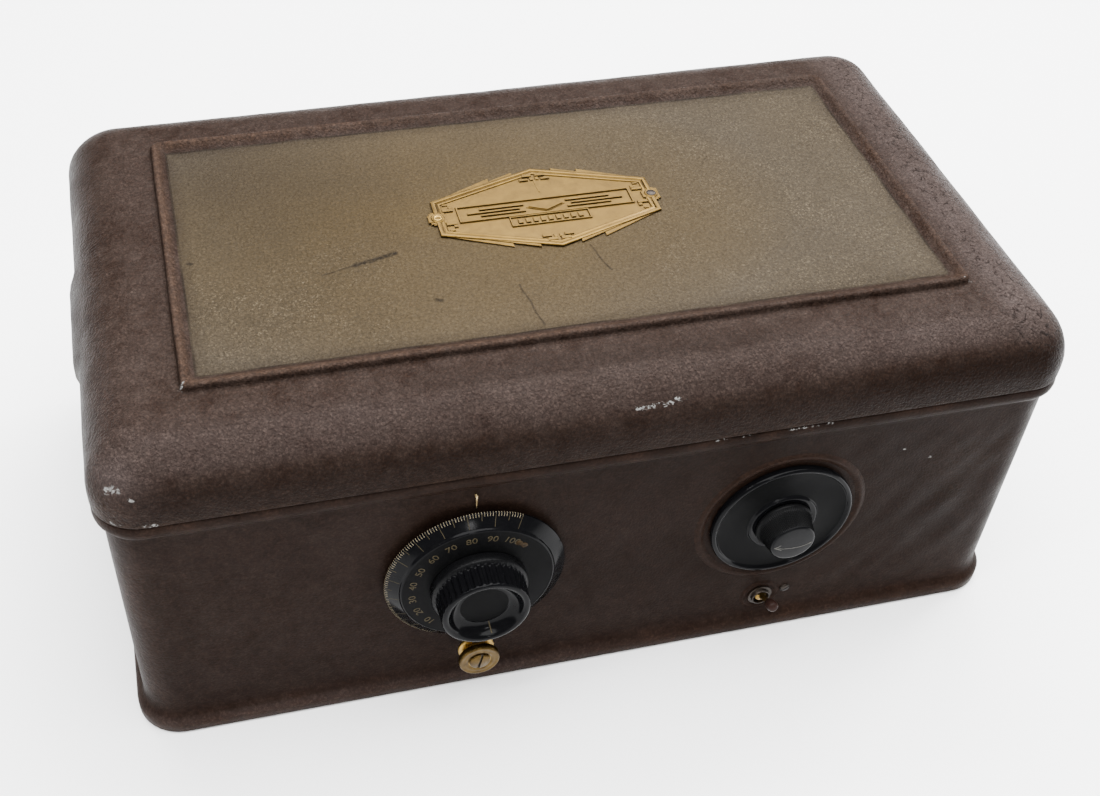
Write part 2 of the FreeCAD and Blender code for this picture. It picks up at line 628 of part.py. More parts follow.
def pulley(x, y0, grooves):
    """Flanged drum for the tape belts, one or two grooves wide."""
    width = BELT_WIDTH + 1.0
    points = [(SHAFT_R, y0 - 0.8)]
    for groove in range(grooves):
        y = y0 + groove * (LEFT_BELT_Y - RIGHT_BELT_Y)
        points += [(PULLEY_R + 1.6, y - 0.8), (PULLEY_R + 1.6, y), (PULLEY_R, y)]
        points += [(PULLEY_R, y + width), (PULLEY_R + 1.6, y + width), (PULLEY_R + 1.6, y + width + 0.8)]
    points.append((SHAFT_R, points[-1][1]))
    return turned_y(points, x, DIAL_Z)


def belt(x0, x1, y0):
    """Closed steel tape round two equal drums."""
    inner = PULLEY_R + 0.15
    outer = inner + 0.4
    loops = []
    for radius in (outer, inner):
        ends = rod_y(radius, x0, DIAL_Z, y0, y0 + BELT_WIDTH)
        ends = ends.fuse(rod_y(radius, x1, DIAL_Z, y0, y0 + BELT_WIDTH))
        bar = box(x0, x1, y0, y0 + BELT_WIDTH, DIAL_Z - radius, DIAL_Z + radius)
        loops.append(ends.fuse(bar).removeSplitter())
    return loops[0].cut(loops[1])


def make_gang():
    names = ("left", "middle", "right")
    for name, x in zip(names, GANG_X):
        save(name + "_rotor", rotor(x))
        front = FRONT - 18.5 if x == DIAL_X else RIGHT_BELT_Y - 1.5
        if x == GANG_X[0]:
            front = LEFT_BELT_Y - 1.5
        save(name + "_shaft", rod_y(SHAFT_R, x, DIAL_Z, front, GANG_BACK + 4))
    save("condenser_frames", [gang_frame(x) for x in GANG_X])
    save("condenser_stators", [stator(x) for x in GANG_X])
    blocks = []
    for x in GANG_X:
        for side in (-1, 1):
            edge = x + side * STATOR_BAR_X
            for y in (GANG_FRONT + 2.6, GANG_BACK - 6.0):
                blocks.append(box(edge - 4, edge + 4, y, y + 3.4, DECK_TOP + 2, STATOR_BAR_Z))
    save("stator_insulators", blocks)
    save("left_pulley", pulley(GANG_X[0], LEFT_BELT_Y, 1))
    save("middle_pulley", pulley(GANG_X[1], RIGHT_BELT_Y, 2))
    save("right_pulley", pulley(GANG_X[2], RIGHT_BELT_Y, 1))
    left = belt(GANG_X[0], GANG_X[1], LEFT_BELT_Y + 0.5)
    right = belt(GANG_X[1], GANG_X[2], RIGHT_BELT_Y + 0.5)
    save("tape_belts", [left, right])


# ---- chassis, coils, valves and power unit ----

def chassis_screw_places():
    return [(x, y) for x in (-206, 206) for y in (-60, 60)]


def valve_places():
    """The six receiving valves, then the rectifier."""
    return [(x, VALVE_Y) for x in VALVE_X] + [(RECTIFIER_X, RECTIFIER_Y)]


def valve_pins():
    """Pin places of a four-pin base, about its middle."""
    return [(-7.5, -6.0), (7.5, -6.0), (-7.5, 6.0), (7.5, 6.0)]


def make_chassis():
    low = BOTTOM_SHEET + SHEET
    outside = box(-DECK_HALF_X, DECK_HALF_X, DECK_FRONT, DECK_BACK, low, DECK_TOP)
    inside = box(-DECK_HALF_X + SHEET, DECK_HALF_X - SHEET, DECK_FRONT + SHEET, DECK_BACK - SHEET,
                 low - 1, DECK_TOP - SHEET)
    deck = outside.cut(inside)
    feet = []
    for side in (-1, 1):
        edge = side * DECK_HALF_X
        x0, x1 = sorted((edge, edge - side * 8))
        feet.append(box(x0, x1, -70, -50, low, low + SHEET))
        feet.append(box(x0, x1, 50, 70, low, low + SHEET))
    deck = fused([deck] + feet)
    through_top = DECK_TOP - 4, DECK_TOP + 1
    through_front = DECK_FRONT - 1, DECK_FRONT + 4
    holes = [rod_z(SCREW_HOLE_R, x, y, 0, 8) for x, y in chassis_screw_places()]
    holes.append(gland_seat(DECK_BACK - 4, DECK_BACK + 1, 3.0))
    for x, y in valve_places():
        holes.append(rod_z(SOCKET_HOLE_R, x, y, *through_top))
    holes.append(rod_z(8.0, LEAD_HOLE_X, LEAD_HOLE_Y, *through_top))
    holes.append(rod_y(8.0, TOGGLE_X, TOGGLE_Z, *through_front))
    holes.append(rod_y(4.0, VOLUME_X - 25, DIAL_Z - 49.2, *through_front))
    save("chassis_deck", cut_all(deck, holes))
    screws = []
    for x, y in chassis_screw_places():
        shank = rod_z(SCREW_R, x, y, BOTTOM_SHEET, 8.0)
        screws.append(shank.fuse(rod_z(SCREW_HEAD_R, x, y, low + SHEET, 7.0)).removeSplitter())
    save("chassis_screws", screws)


def valve_socket(x, y):
    socket = fused([rod_z(18.0, x, y, DECK_TOP, DECK_TOP + 4), rod_z(14.5, x, y, DECK_TOP - 8, DECK_TOP)])
    for pin_x, pin_y in valve_pins():
        socket = socket.cut(rod_z(2.0, x + pin_x, y + pin_y, DECK_TOP - 9, DECK_TOP + 5))
    return socket


def valve_base(x, y, z):
    """Moulded cup base with its four pins."""
    base = turned_z([
        (0, z), (16.5, z), (17.2, z + 2), (17.2, z + 27), (15.6, z + 27), (15.6, z + 5), (0, z + 5),
    ], x, y)
    pins = [rod_z(1.8, x + pin_x, y + pin_y, z - 11, z + 1) for pin_x, pin_y in valve_pins()]
    return fused([base] + pins)


def valve_bulb(x, y, z, radius, height):
    """Globe envelope: neck in the base cup, round body, small tip-off."""
    middle = z + height * 0.52
    neck = 14.5
    points = [(0, z), (neck, z), (neck, z + 16)]
    for step in range(9):
        angle = math.radians(-48 + 15.5 * step)
        points.append((radius * math.cos(angle), middle + radius * 1.12 * math.sin(angle)))
    points.append((3.0, middle + radius * 1.12 + 0.6))
    points.append((0, middle + radius * 1.12 + 3.0))
    return turned_z(points, x, y)


def make_valves():
    base_z = DECK_TOP + 4
    save("valve_sockets", [valve_socket(x, y) for x, y in valve_places()])
    save("valve_bases", [valve_base(x, y, base_z) for x, y in valve_places()])
    bulbs = [valve_bulb(x, VALVE_Y, base_z + 7, BULB_R, BULB_HEIGHT) for x in VALVE_X]
    bulbs.append(valve_bulb(RECTIFIER_X, RECTIFIER_Y, base_z + 7, BULB_R + 2, RECTIFIER_HEIGHT))
    save("valve_bulbs", bulbs)


def make_coils():
    formers = []
    windings = []
    for x in GANG_X:
        former = tube_z(COIL_R, COIL_R - 2.0, x, COIL_Y, DECK_TOP, DECK_TOP + 62)
        former = former.fuse(tube_z(COIL_R + 4, COIL_R - 2.0, x, COIL_Y, DECK_TOP, DECK_TOP + 2.5))
        formers.append(former.removeSplitter())
        windings.append(tube_z(COIL_R + 0.9, COIL_R, x, COIL_Y, DECK_TOP + 12, DECK_TOP + 50))
    save("coil_formers", formers)
    save("coil_windings", windings)


def canned(plan, height, corner):
    """Drawn steel can on the deck, its upright edges rounded."""
    can = box(*plan, DECK_TOP, DECK_TOP + height)
    upright = [e for e in can.Edges if e.BoundBox.ZLength > height - 1]
    return can.makeFillet(corner, upright)


def make_power_unit():
    left, right, front, back = TRANSFORMER_PLAN
    core = box(*TRANSFORMER_PLAN, DECK_TOP + 18, DECK_TOP + 62)
    for rail in (front + 4, back - 10):
        core = core.fuse(box(left + 6, right - 6, rail, rail + 6, DECK_TOP, DECK_TOP + 20))
    window = left + 18, right - 18, front + 14, back - 14
    core = core.removeSplitter().cut(box(*window, DECK_TOP + 10, DECK_TOP + 70))
    save("transformer_core", core)
    wound = window[0] + 0.3, window[1] - 0.3, window[2] + 0.3, window[3] - 0.3
    save("transformer_winding", box(*wound, DECK_TOP + 4, DECK_TOP + 76))
    save("filter_block", canned(FILTER_PLAN, 78, 4.0))
    save("audio_transformers", [canned(plan, 48, 3.0) for plan in AUDIO_PLANS])
    under = DECK_TOP - SHEET
    save("bypass_condensers", [box(*plan, under - 20, under) for plan in BYPASS_PLANS])


# ---- rear terminals, gland and leads ----

def make_rear():
    wall_in = CASE_HALF_Y - SHEET
    strip = box(TERMINAL_X[0] - 14, TERMINAL_X[-1] + 14, CASE_HALF_Y, CASE_HALF_Y + 3.5,
                TERMINAL_Z - 11, TERMINAL_Z + 11)
    posts = []
    for x in TERMINAL_X:
        strip = strip.cut(rod_y(POST_R, x, TERMINAL_Z, CASE_HALF_Y - 1, CASE_HALF_Y + 5))
        posts.append(turned_y([
            (0, wall_in - 4), (POST_R, wall_in - 4), (POST_R, CASE_HALF_Y + 3.5), (5.5, CASE_HALF_Y + 3.5),
            (5.5, CASE_HALF_Y + 5.0), (POST_TIP_R, CASE_HALF_Y + 5.0), (POST_TIP_R, CASE_HALF_Y + 15.0),
            (0, CASE_HALF_Y + 15.0),
        ], x, TERMINAL_Z))
    washers = [tube_y(6.0, POST_R, x, TERMINAL_Z, wall_in - 2.0, wall_in) for x in TERMINAL_X]
    save("terminal_strip", [strip] + washers)
    save("terminal_posts", posts)
    for number, x in enumerate(TERMINAL_X, 1):
        nut = turned_y([
            (POST_TIP_R + RUNNING, CASE_HALF_Y + 6.5), (4.6, CASE_HALF_Y + 6.5), (6.2, CASE_HALF_Y + 8.0),
            (6.2, CASE_HALF_Y + 12.0), (4.8, CASE_HALF_Y + 13.0), (POST_TIP_R + RUNNING, CASE_HALF_Y + 13.0),
        ], x, TERMINAL_Z)
        save("terminal_nut_" + str(number), nut)
    head = turned_y([
        (0, CASE_HALF_Y), (GLAND_R, CASE_HALF_Y), (GLAND_R, CASE_HALF_Y + 2.6), (7.0, CASE_HALF_Y + 4.0),
        (0, CASE_HALF_Y + 4.0),
    ], GLAND_X, GLAND_Z)
    tail = rod_y(GLAND_R, GLAND_X, GLAND_Z, wall_in - 3.5, wall_in)
    gland = fused([head, gland_seat(wall_in, CASE_HALF_Y, 0), tail])
    save("cord_gland", gland.cut(rod_y(GLAND_BORE, GLAND_X, GLAND_Z, wall_in - 5, CASE_HALF_Y + 5)))


def make_leads():
    """Switch leads to the mains transformer, and one from the volume control."""
    leads = []
    for shift in (-4, 4):
        x = TOGGLE_X + shift
        leads.append([vec(x, FRONT + 26, 24), vec(x, -70, 24), vec(x + 11, -36, 18), vec(x + 33, -6, 14),
                      vec(x + 56, 24, 14), vec(x + 71, 52, 20), vec(x + 73, 60, 49.0)])
    leads.append([vec(84, -111, 63.2), vec(83, -110, 47), vec(68, -99, 36), vec(62, -80, 33),
                  vec(58, -52, 32), vec(53, -30, 33), vec(40.3, -28, 33)])
    save("internal_leads", [lead(points, LEAD_R) for points in leads])


os.makedirs("parts", exist_ok=True)
make_case()
make_lid()
make_badge()
make_bottom()
make_dial()
make_bushings()
make_trimmer()
make_volume()
make_switch()
make_gang()
make_chassis()
make_valves()
make_coils()
make_power_unit()
make_rear()
make_leads()
print("nodes:", len(os.listdir("parts")))
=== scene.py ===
import math

import bmesh
import bpy
from mathutils import Euler, Matrix, Vector, noise


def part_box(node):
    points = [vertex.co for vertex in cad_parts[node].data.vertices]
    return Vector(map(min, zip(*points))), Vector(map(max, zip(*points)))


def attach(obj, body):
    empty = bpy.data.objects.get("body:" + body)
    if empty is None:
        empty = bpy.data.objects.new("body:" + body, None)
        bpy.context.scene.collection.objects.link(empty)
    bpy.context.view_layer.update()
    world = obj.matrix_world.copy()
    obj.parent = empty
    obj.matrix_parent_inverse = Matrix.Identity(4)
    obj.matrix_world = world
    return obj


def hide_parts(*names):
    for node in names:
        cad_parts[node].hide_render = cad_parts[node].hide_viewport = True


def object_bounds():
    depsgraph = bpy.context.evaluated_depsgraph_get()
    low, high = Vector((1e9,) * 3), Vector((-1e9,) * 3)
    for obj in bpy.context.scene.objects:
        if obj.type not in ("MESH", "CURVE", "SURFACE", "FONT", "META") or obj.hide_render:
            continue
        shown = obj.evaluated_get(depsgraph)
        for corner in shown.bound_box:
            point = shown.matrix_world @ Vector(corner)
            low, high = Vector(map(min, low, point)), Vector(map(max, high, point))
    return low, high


# A metal-cased table radio: crinkle-painted steel case and lift-off lid with a gold-green
# panel and brass badge, black bakelite dial and knobs, and the valve chassis inside.
# Sizes are in millimetres up to the point where a mesh is made, which scales them by MM.

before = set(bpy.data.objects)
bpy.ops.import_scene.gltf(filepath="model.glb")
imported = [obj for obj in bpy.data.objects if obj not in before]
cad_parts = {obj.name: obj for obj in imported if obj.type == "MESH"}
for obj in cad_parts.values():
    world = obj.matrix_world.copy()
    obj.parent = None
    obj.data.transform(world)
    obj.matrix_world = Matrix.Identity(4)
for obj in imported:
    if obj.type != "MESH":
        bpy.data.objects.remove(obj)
cad_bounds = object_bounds()

MM = 0.001
TAU = 2 * math.pi


def node_box(node):
    """Lowest and highest corners of a CAD node, in millimetres."""
    low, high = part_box(node)
    return low / MM, high / MM


# ---- places taken from the frame ----

case_low, case_high = node_box("case_body")
lid_low, lid_high = node_box("lid")
dial_low, dial_high = node_box("dial_disc")
plaque_low, plaque_high = node_box("volume_escutcheon")
badge_low, badge_high = node_box("badge")
DECK_TOP = node_box("chassis_deck")[1].z

PLINTH_OUT = 4.0
CASE_X = case_high.x - PLINTH_OUT
CASE_Y = -case_low.y - PLINTH_OUT
CASE_CORNER = 17.5
FRONT = -CASE_Y
LID_Y = lid_high.y
LID_X = CASE_X + 3.65
GRIP_OUT = lid_high.x - LID_X
LID_BOTTOM = lid_low.z
MOULDING_CREST = lid_high.z
LID_TOP = MOULDING_CREST - 3.2
LID_CORNER = 22.0
LID_EDGE = 28.5
SPIGOT_TOP = case_high.z
SHEET = 1.5
DIAL_X = (dial_low.x + dial_high.x) / 2
DIAL_Z = (dial_low.z + dial_high.z) / 2
VOLUME_X = (plaque_low.x + plaque_high.x) / 2
THUMB_Z = sum(corner.z for corner in node_box("thumb_knob")) / 2
TOGGLE = sum(node_box("switch_bushing"), Vector()) / 2
PLATE_SCREW_X = TOGGLE.x + 13.3
PLATE_SCREW_Z = TOGGLE.z + 2
BADGE_X = (badge_low.x + badge_high.x) / 2
BADGE_Y = (badge_low.y + badge_high.y) / 2
BADGE_Z = badge_low.z


# ---- camera, light and floor ----

def make_camera():
    data = bpy.data.cameras.new("camera")
    camera = bpy.data.objects.new("camera", data)
    bpy.context.scene.collection.objects.link(camera)
    camera.location = Vector((-165.0, -525.0, 588.9)) * MM
    camera.rotation_euler = Euler([math.radians(a) for a in (45.126, -1.995, -13.784)])
    data.lens = 46.27
    data.sensor_width = 36.0
    data.shift_x = 0.0453
    data.shift_y = 0.0205
    data.clip_start = 0.01
    bpy.context.scene.camera = camera


def softbox(name, place, target, size, power):
    data = bpy.data.lights.new(name, "AREA")
    data.shape = "RECTANGLE"
    data.size, data.size_y = size
    data.energy = power
    lamp = bpy.data.objects.new(name, data)
    lamp.location = place
    lamp.rotation_euler = (Vector(target) - Vector(place)).to_track_quat("-Z", "Y").to_euler()
    bpy.context.scene.collection.objects.link(lamp)


def make_stage():
    bpy.ops.mesh.primitive_plane_add(size=8)
    floor = bpy.context.object
    floor.name = "studio_floor"
    shade, bsdf = new_material("studio_paper")
    bsdf.inputs["Base Color"].default_value = (0.93, 0.93, 0.93, 1)
    bsdf.inputs["Roughness"].default_value = 0.9
    bsdf.inputs["Specular IOR Level"].default_value = 0.15
    floor.data.materials.append(shade)
    world = bpy.data.worlds.new("studio")
    world.use_nodes = True
    world.node_tree.nodes["Background"].inputs["Color"].default_value = (0.95, 0.97, 1.0, 1)
    world.node_tree.nodes["Background"].inputs["Strength"].default_value = 0.75
    bpy.context.scene.world = world
    softbox("back_window", (0.1, 1.05, 1.55), (0, 0, 0.1), (1.9, 0.8), 92)
    softbox("overhead", (0.15, -0.15, 1.75), (0.05, 0.0, 0), (2.4, 1.6), 175)
    softbox("right_back", (1.5, 0.75, 1.4), (0, 0, 0.1), (0.6, 0.8), 62)
    softbox("left_window", (-1.3, -0.5, 1.5), (0, 0, 0.1), (0.14, 0.30), 13)
    softbox("front_window", (0.0, -1.25, 0.75), (-0.06, -0.1, 0.08), (0.10, 0.16), 3)


# ---- shader helpers ----

def new_material(name):
    shade = bpy.data.materials.new(name)
    shade.use_nodes = True
    return shade, shade.node_tree.nodes["Principled BSDF"]


class Shader:
    """Small builder for a procedural material in object coordinates (metres)."""

    def __init__(self, name, rough, metallic=0.0, specular=0.5):
        self.material, self.bsdf = new_material(name)
        self.tree = self.material.node_tree
        self.coords = self.tree.nodes.new("ShaderNodeTexCoord").outputs["Object"]
        self.bsdf.inputs["Roughness"].default_value = rough
        self.bsdf.inputs["Metallic"].default_value = metallic
        self.bsdf.inputs["Specular IOR Level"].default_value = specular

    def add(self, kind, **settings):
        made = self.tree.nodes.new(kind)
        for key, value in settings.items():
            setattr(made, key, value)
        return made

    def link(self, source, target):
        self.tree.links.new(source, target)

    def stretched(self, scale):
        """Object coordinates scaled along each axis."""
        mapping = self.add("ShaderNodeMapping")
        mapping.inputs["Scale"].default_value = scale
        self.link(self.coords, mapping.inputs["Vector"])
        return mapping.outputs["Vector"]

    def warped(self, amount_mm, size_mm):
        """Object coordinates pushed about by a noise."""
        push = self.add("ShaderNodeTexNoise")
        push.inputs["Scale"].default_value = 1000.0 / size_mm
        self.link(self.coords, push.inputs["Vector"])
        centred = self.vector("SUBTRACT", push.outputs["Color"], (0.5, 0.5, 0.5))
        return self.vector("ADD", self.coords, self.vector("SCALE", centred, scale=amount_mm * MM))

    def noise(self, size_mm, detail=3.0, rough=0.55, warp=0.0, coords=None):
        """Noise whose features are about size_mm across."""
        made = self.add("ShaderNodeTexNoise")
        made.inputs["Scale"].default_value = 1000.0 / size_mm
        made.inputs["Detail"].default_value = detail
        made.inputs["Roughness"].default_value = rough
        made.inputs["Distortion"].default_value = warp
        self.link(coords or self.coords, made.inputs["Vector"])
        return made.outputs["Fac"]

    def cells(self, size_mm, feature="F1", smooth=0.0, coords=None):
        made = self.add("ShaderNodeTexVoronoi", feature=feature)
        made.inputs["Scale"].default_value = 1000.0 / size_mm
        if feature == "SMOOTH_F1":
            made.inputs["Smoothness"].default_value = smooth
        self.link(coords or self.coords, made.inputs["Vector"])
        return made.outputs["Distance"]

    def ramp(self, source, stops):
        """Stops are (position, grey or colour)."""
        made = self.add("ShaderNodeValToRGB")
        elements = made.color_ramp.elements
        while len(elements) < len(stops):
            elements.new(0.5)
        for element, (place, value) in zip(elements, stops):
            element.position = place
            colour = (value, value, value) if isinstance(value, (int, float)) else value
            element.color = (*colour, 1)
        self.link(source, made.inputs["Fac"])
        return made.outputs["Color"]

    def math(self, operation, a, b=0.0, clamp=False):
        made = self.add("ShaderNodeMath", operation=operation, use_clamp=clamp)
        for socket, value in zip(made.inputs, (a, b)):
            if isinstance(value, (int, float)):
                socket.default_value = value
            else:
                self.link(value, socket)
        return made.outputs[0]

    def mix(self, factor, a, b, blend="MIX"):
        """Mixes two colours; each may be a socket or an (r, g, b)."""
        made = self.add("ShaderNodeMix", data_type="RGBA", blend_type=blend)
        for socket, value in zip((made.inputs[0], made.inputs[6], made.inputs[7]), (factor, a, b)):
            if isinstance(value, (int, float)):
                socket.default_value = value
            elif isinstance(value, tuple):
                socket.default_value = (*value, 1)
            else:
                self.link(value, socket)
        return made.outputs[2]

    def stroke(self, start, finish, width, coords):
        """1 along a line between two points, falling to 0 at a width beside it."""
        begin = Vector(start) * MM
        along = Vector(finish) * MM - begin
        offset = self.vector("SUBTRACT", coords, tuple(begin))
        reach = self.vector("DOT_PRODUCT", offset, tuple(along))
        share = self.math("DIVIDE", reach, along.length_squared, True)
        nearest = self.vector("SCALE", tuple(along), scale=share)
        away = self.vector("DISTANCE", offset, nearest)
        return self.ramp(self.math("DIVIDE", away, width * MM, True), [(0.35, 1.0), (1.0, 0.0)])

    def vector(self, operation, a, b=None, scale=None):
        made = self.add("ShaderNodeVectorMath", operation=operation)
        for socket, value in zip(made.inputs, (a, b)):
            if isinstance(value, tuple):
                socket.default_value = value
            elif value is not None:
                self.link(value, socket)
        if isinstance(scale, float):
            made.inputs["Scale"].default_value = scale
        elif scale is not None:
            self.link(scale, made.inputs["Scale"])
        measures = operation in ("DOT_PRODUCT", "DISTANCE")
        return made.outputs["Value" if measures else "Vector"]

    def attribute(self, name):
        return self.add("ShaderNodeAttribute", attribute_name=name).outputs["Fac"]

    def colour(self, source):
        self.link(source, self.bsdf.inputs["Base Color"])

    def roughness(self, source):
        self.link(source, self.bsdf.inputs["Roughness"])

    def bump(self, height, depth_mm, strength=1.0):
        """Adds a bump; several stack on each other."""
        made = self.add("ShaderNodeBump")
        made.inputs["Strength"].default_value = strength
        made.inputs["Distance"].default_value = depth_mm * MM
        self.link(height, made.inputs["Height"])
        target = self.bsdf.inputs["Normal"]
        if target.is_linked:
            self.link(target.links[0].from_socket, made.inputs["Normal"])
        self.link(made.outputs["Normal"], target)


# ---- mesh helpers ----

def new_object(name, points, faces, material=None, smooth=True):
    """Mesh object from points in millimetres."""
    mesh = bpy.data.meshes.new(name)
    mesh.from_pydata([Vector(p) * MM for p in points], [], faces)
    mesh.update()
    for face in mesh.polygons:
        face.use_smooth = smooth
    thing = bpy.data.objects.new(name, mesh)
    bpy.context.scene.collection.objects.link(thing)
    if material:
        mesh.materials.append(material)
    return thing


def lathe(name, profile, x, z, material, segments=96, flute=None, wave=None):
    """Turned solid about an axis along Y: profile points are (radius, depth before the front sheet).
    flute(angle, index) adds to the radius; wave(x, z) adds to y."""
    points = []
    faces = []
    rings = []
    for index, (radius, depth) in enumerate(profile):
        if radius < 1e-6:
            points.append((x, FRONT - depth, z))
            rings.append([len(points) - 1] * segments)
            continue
        ring = []
        for step in range(segments):
            angle = TAU * step / segments
            reach = radius + (flute(angle, index) if flute else 0.0)
            px, pz = x + reach * math.sin(angle), z + reach * math.cos(angle)
            py = FRONT - depth + (wave(px, pz) if wave else 0.0)
            points.append((px, py, pz))
            ring.append(len(points) - 1)
        rings.append(ring)
    for ring, following in zip(rings, rings[1:]):
        for step in range(segments):
            ahead = (step + 1) % segments
            corners = [ring[step], ring[ahead], following[ahead], following[step]]
            faces.append(list(dict.fromkeys(corners)))
    thing = new_object(name, points, [f for f in faces if len(f) > 2], material)
    outward(thing)
    return thing


def outward(thing):
    mesh = bmesh.new()
    mesh.from_mesh(thing.data)
    bmesh.ops.remove_doubles(mesh, verts=mesh.verts, dist=1e-7)
    bmesh.ops.recalc_face_normals(mesh, faces=mesh.faces)
    mesh.to_mesh(thing.data)
    mesh.free()


def crease_sharp(thing, degrees=40):
    """Marks edges sharper than an angle, so that smooth shading breaks there."""
    mesh = bmesh.new()
    mesh.from_mesh(thing.data)
    for edge in mesh.edges:
        if len(edge.link_faces) == 2 and edge.calc_face_angle() > math.radians(degrees):
            edge.smooth = False
    mesh.to_mesh(thing.data)
    mesh.free()


def rounded_loop(half_x, half_y, radius, long_steps=96, short_steps=56, corner_steps=10):
    """Points (x, y) round a rounded rectangle; every call gives the same number of points."""
    radius = max(radius, 0.01)
    loop = []
    run_x, run_y = half_x - radius, half_y - radius
    corners = ((run_x, run_y), (-run_x, run_y), (-run_x, -run_y), (run_x, -run_y))
    for quarter, (cx, cy) in enumerate(corners):
        for step in range(corner_steps + 1):
            angle = math.radians(90 * quarter + 90 * step / corner_steps)
            loop.append((cx + radius * math.cos(angle), cy + radius * math.sin(angle)))
        nx, ny = corners[(quarter + 1) % 4]
        turn = math.radians(90 * (quarter + 1))
        start = Vector((cx + radius * math.cos(turn), cy + radius * math.sin(turn)))
        finish = Vector((nx + radius * math.cos(turn), ny + radius * math.sin(turn)))
        steps = long_steps if quarter % 2 == 0 else short_steps
        for step in range(1, steps):
            loop.append(tuple(start.lerp(finish, step / steps)))
    return loop


def ring_skin(name, rings, material):
    """Closed skin through rings of equal length, closed at both ends by a face."""
    count = len(rings[0])
    points = [p for ring in rings for p in ring]
    faces = []
    for level in range(len(rings) - 1):
        for step in range(count):
            ahead = (step + 1) % count
            a, b = level * count + step, level * count + ahead
            faces.append((a, b, b + count, a + count))
    return new_object(name, points, faces, material)


def set_attribute(thing, name, values):
    layer = thing.data.attributes.new(name, "FLOAT", "POINT")
    layer.data.foreach_set("value", values)


def ease(value, low, high):
    """0 below low, 1 above high, smooth between."""
    t = min(1.0, max(0.0, (value - low) / (high - low)))
    return t * t * (3 - 2 * t)


def bumps(x, y, z, size, seed=0.0):
    """Smooth noise from -1 to 1 with features of about a size in millimetres."""
    return noise.noise(Vector((x / size + seed, y / size - seed, z / size + 3 * seed)))


# ---- materials ----

# Chips and scuffs in the lid's paint, and painted highlights on the moulding's two front corners: start,
# finish, width.
CHIPS_AND_GLINTS = (
    ((13.2, -81.4, 183.4), (14.4, -81.0, 183.6), 1.0),
    # Painted highlights on the front left and front right corners of the moulding.
    ((-177.3, -87.3, 186.4), (-178.7, -88.4, 183.6), 0.9),
    ((175.4, -88.1, 186.7), (178.8, -89.1, 183.5), 0.6),
    ((-213.0, -122.6, 166.4), (-207.8, -124.2, 167.6), 1.9),
    ((-204.8, -127.8, 164.6), (-203.0, -128.3, 164.0), 1.0),
    ((-213.5, -125.6, 150.9), (-196.0, -130.6, 150.0), 1.1),
    ((8.0, -125.4, 170.9), (15.5, -125.5, 170.6), 0.9),
    ((20.5, -125.6, 170.6), (27.0, -124.4, 172.6), 1.0),
    ((11.0, -125.4, 171.4), (30.0, -125.4, 172.2), 0.6),
)

# Painted highlights along the case's rim (the first three), and two chips on the front.
CASE_GLINTS_AND_CHIPS = (
    ((44.0, -130.0, 147.6), (52.0, -130.0, 147.8), 0.6),
    ((58.0, -130.0, 147.6), (64.0, -130.0, 147.7), 0.45),
    ((80.0, -130.1, 147.3), (101.0, -130.1, 147.5), 0.7),
    ((145.2, -126.7, 117.8), (145.8, -126.7, 117.5), 0.8),
    ((160.4, -126.6, 109.3), (161.2, -126.6, 109.4), 0.8),
)


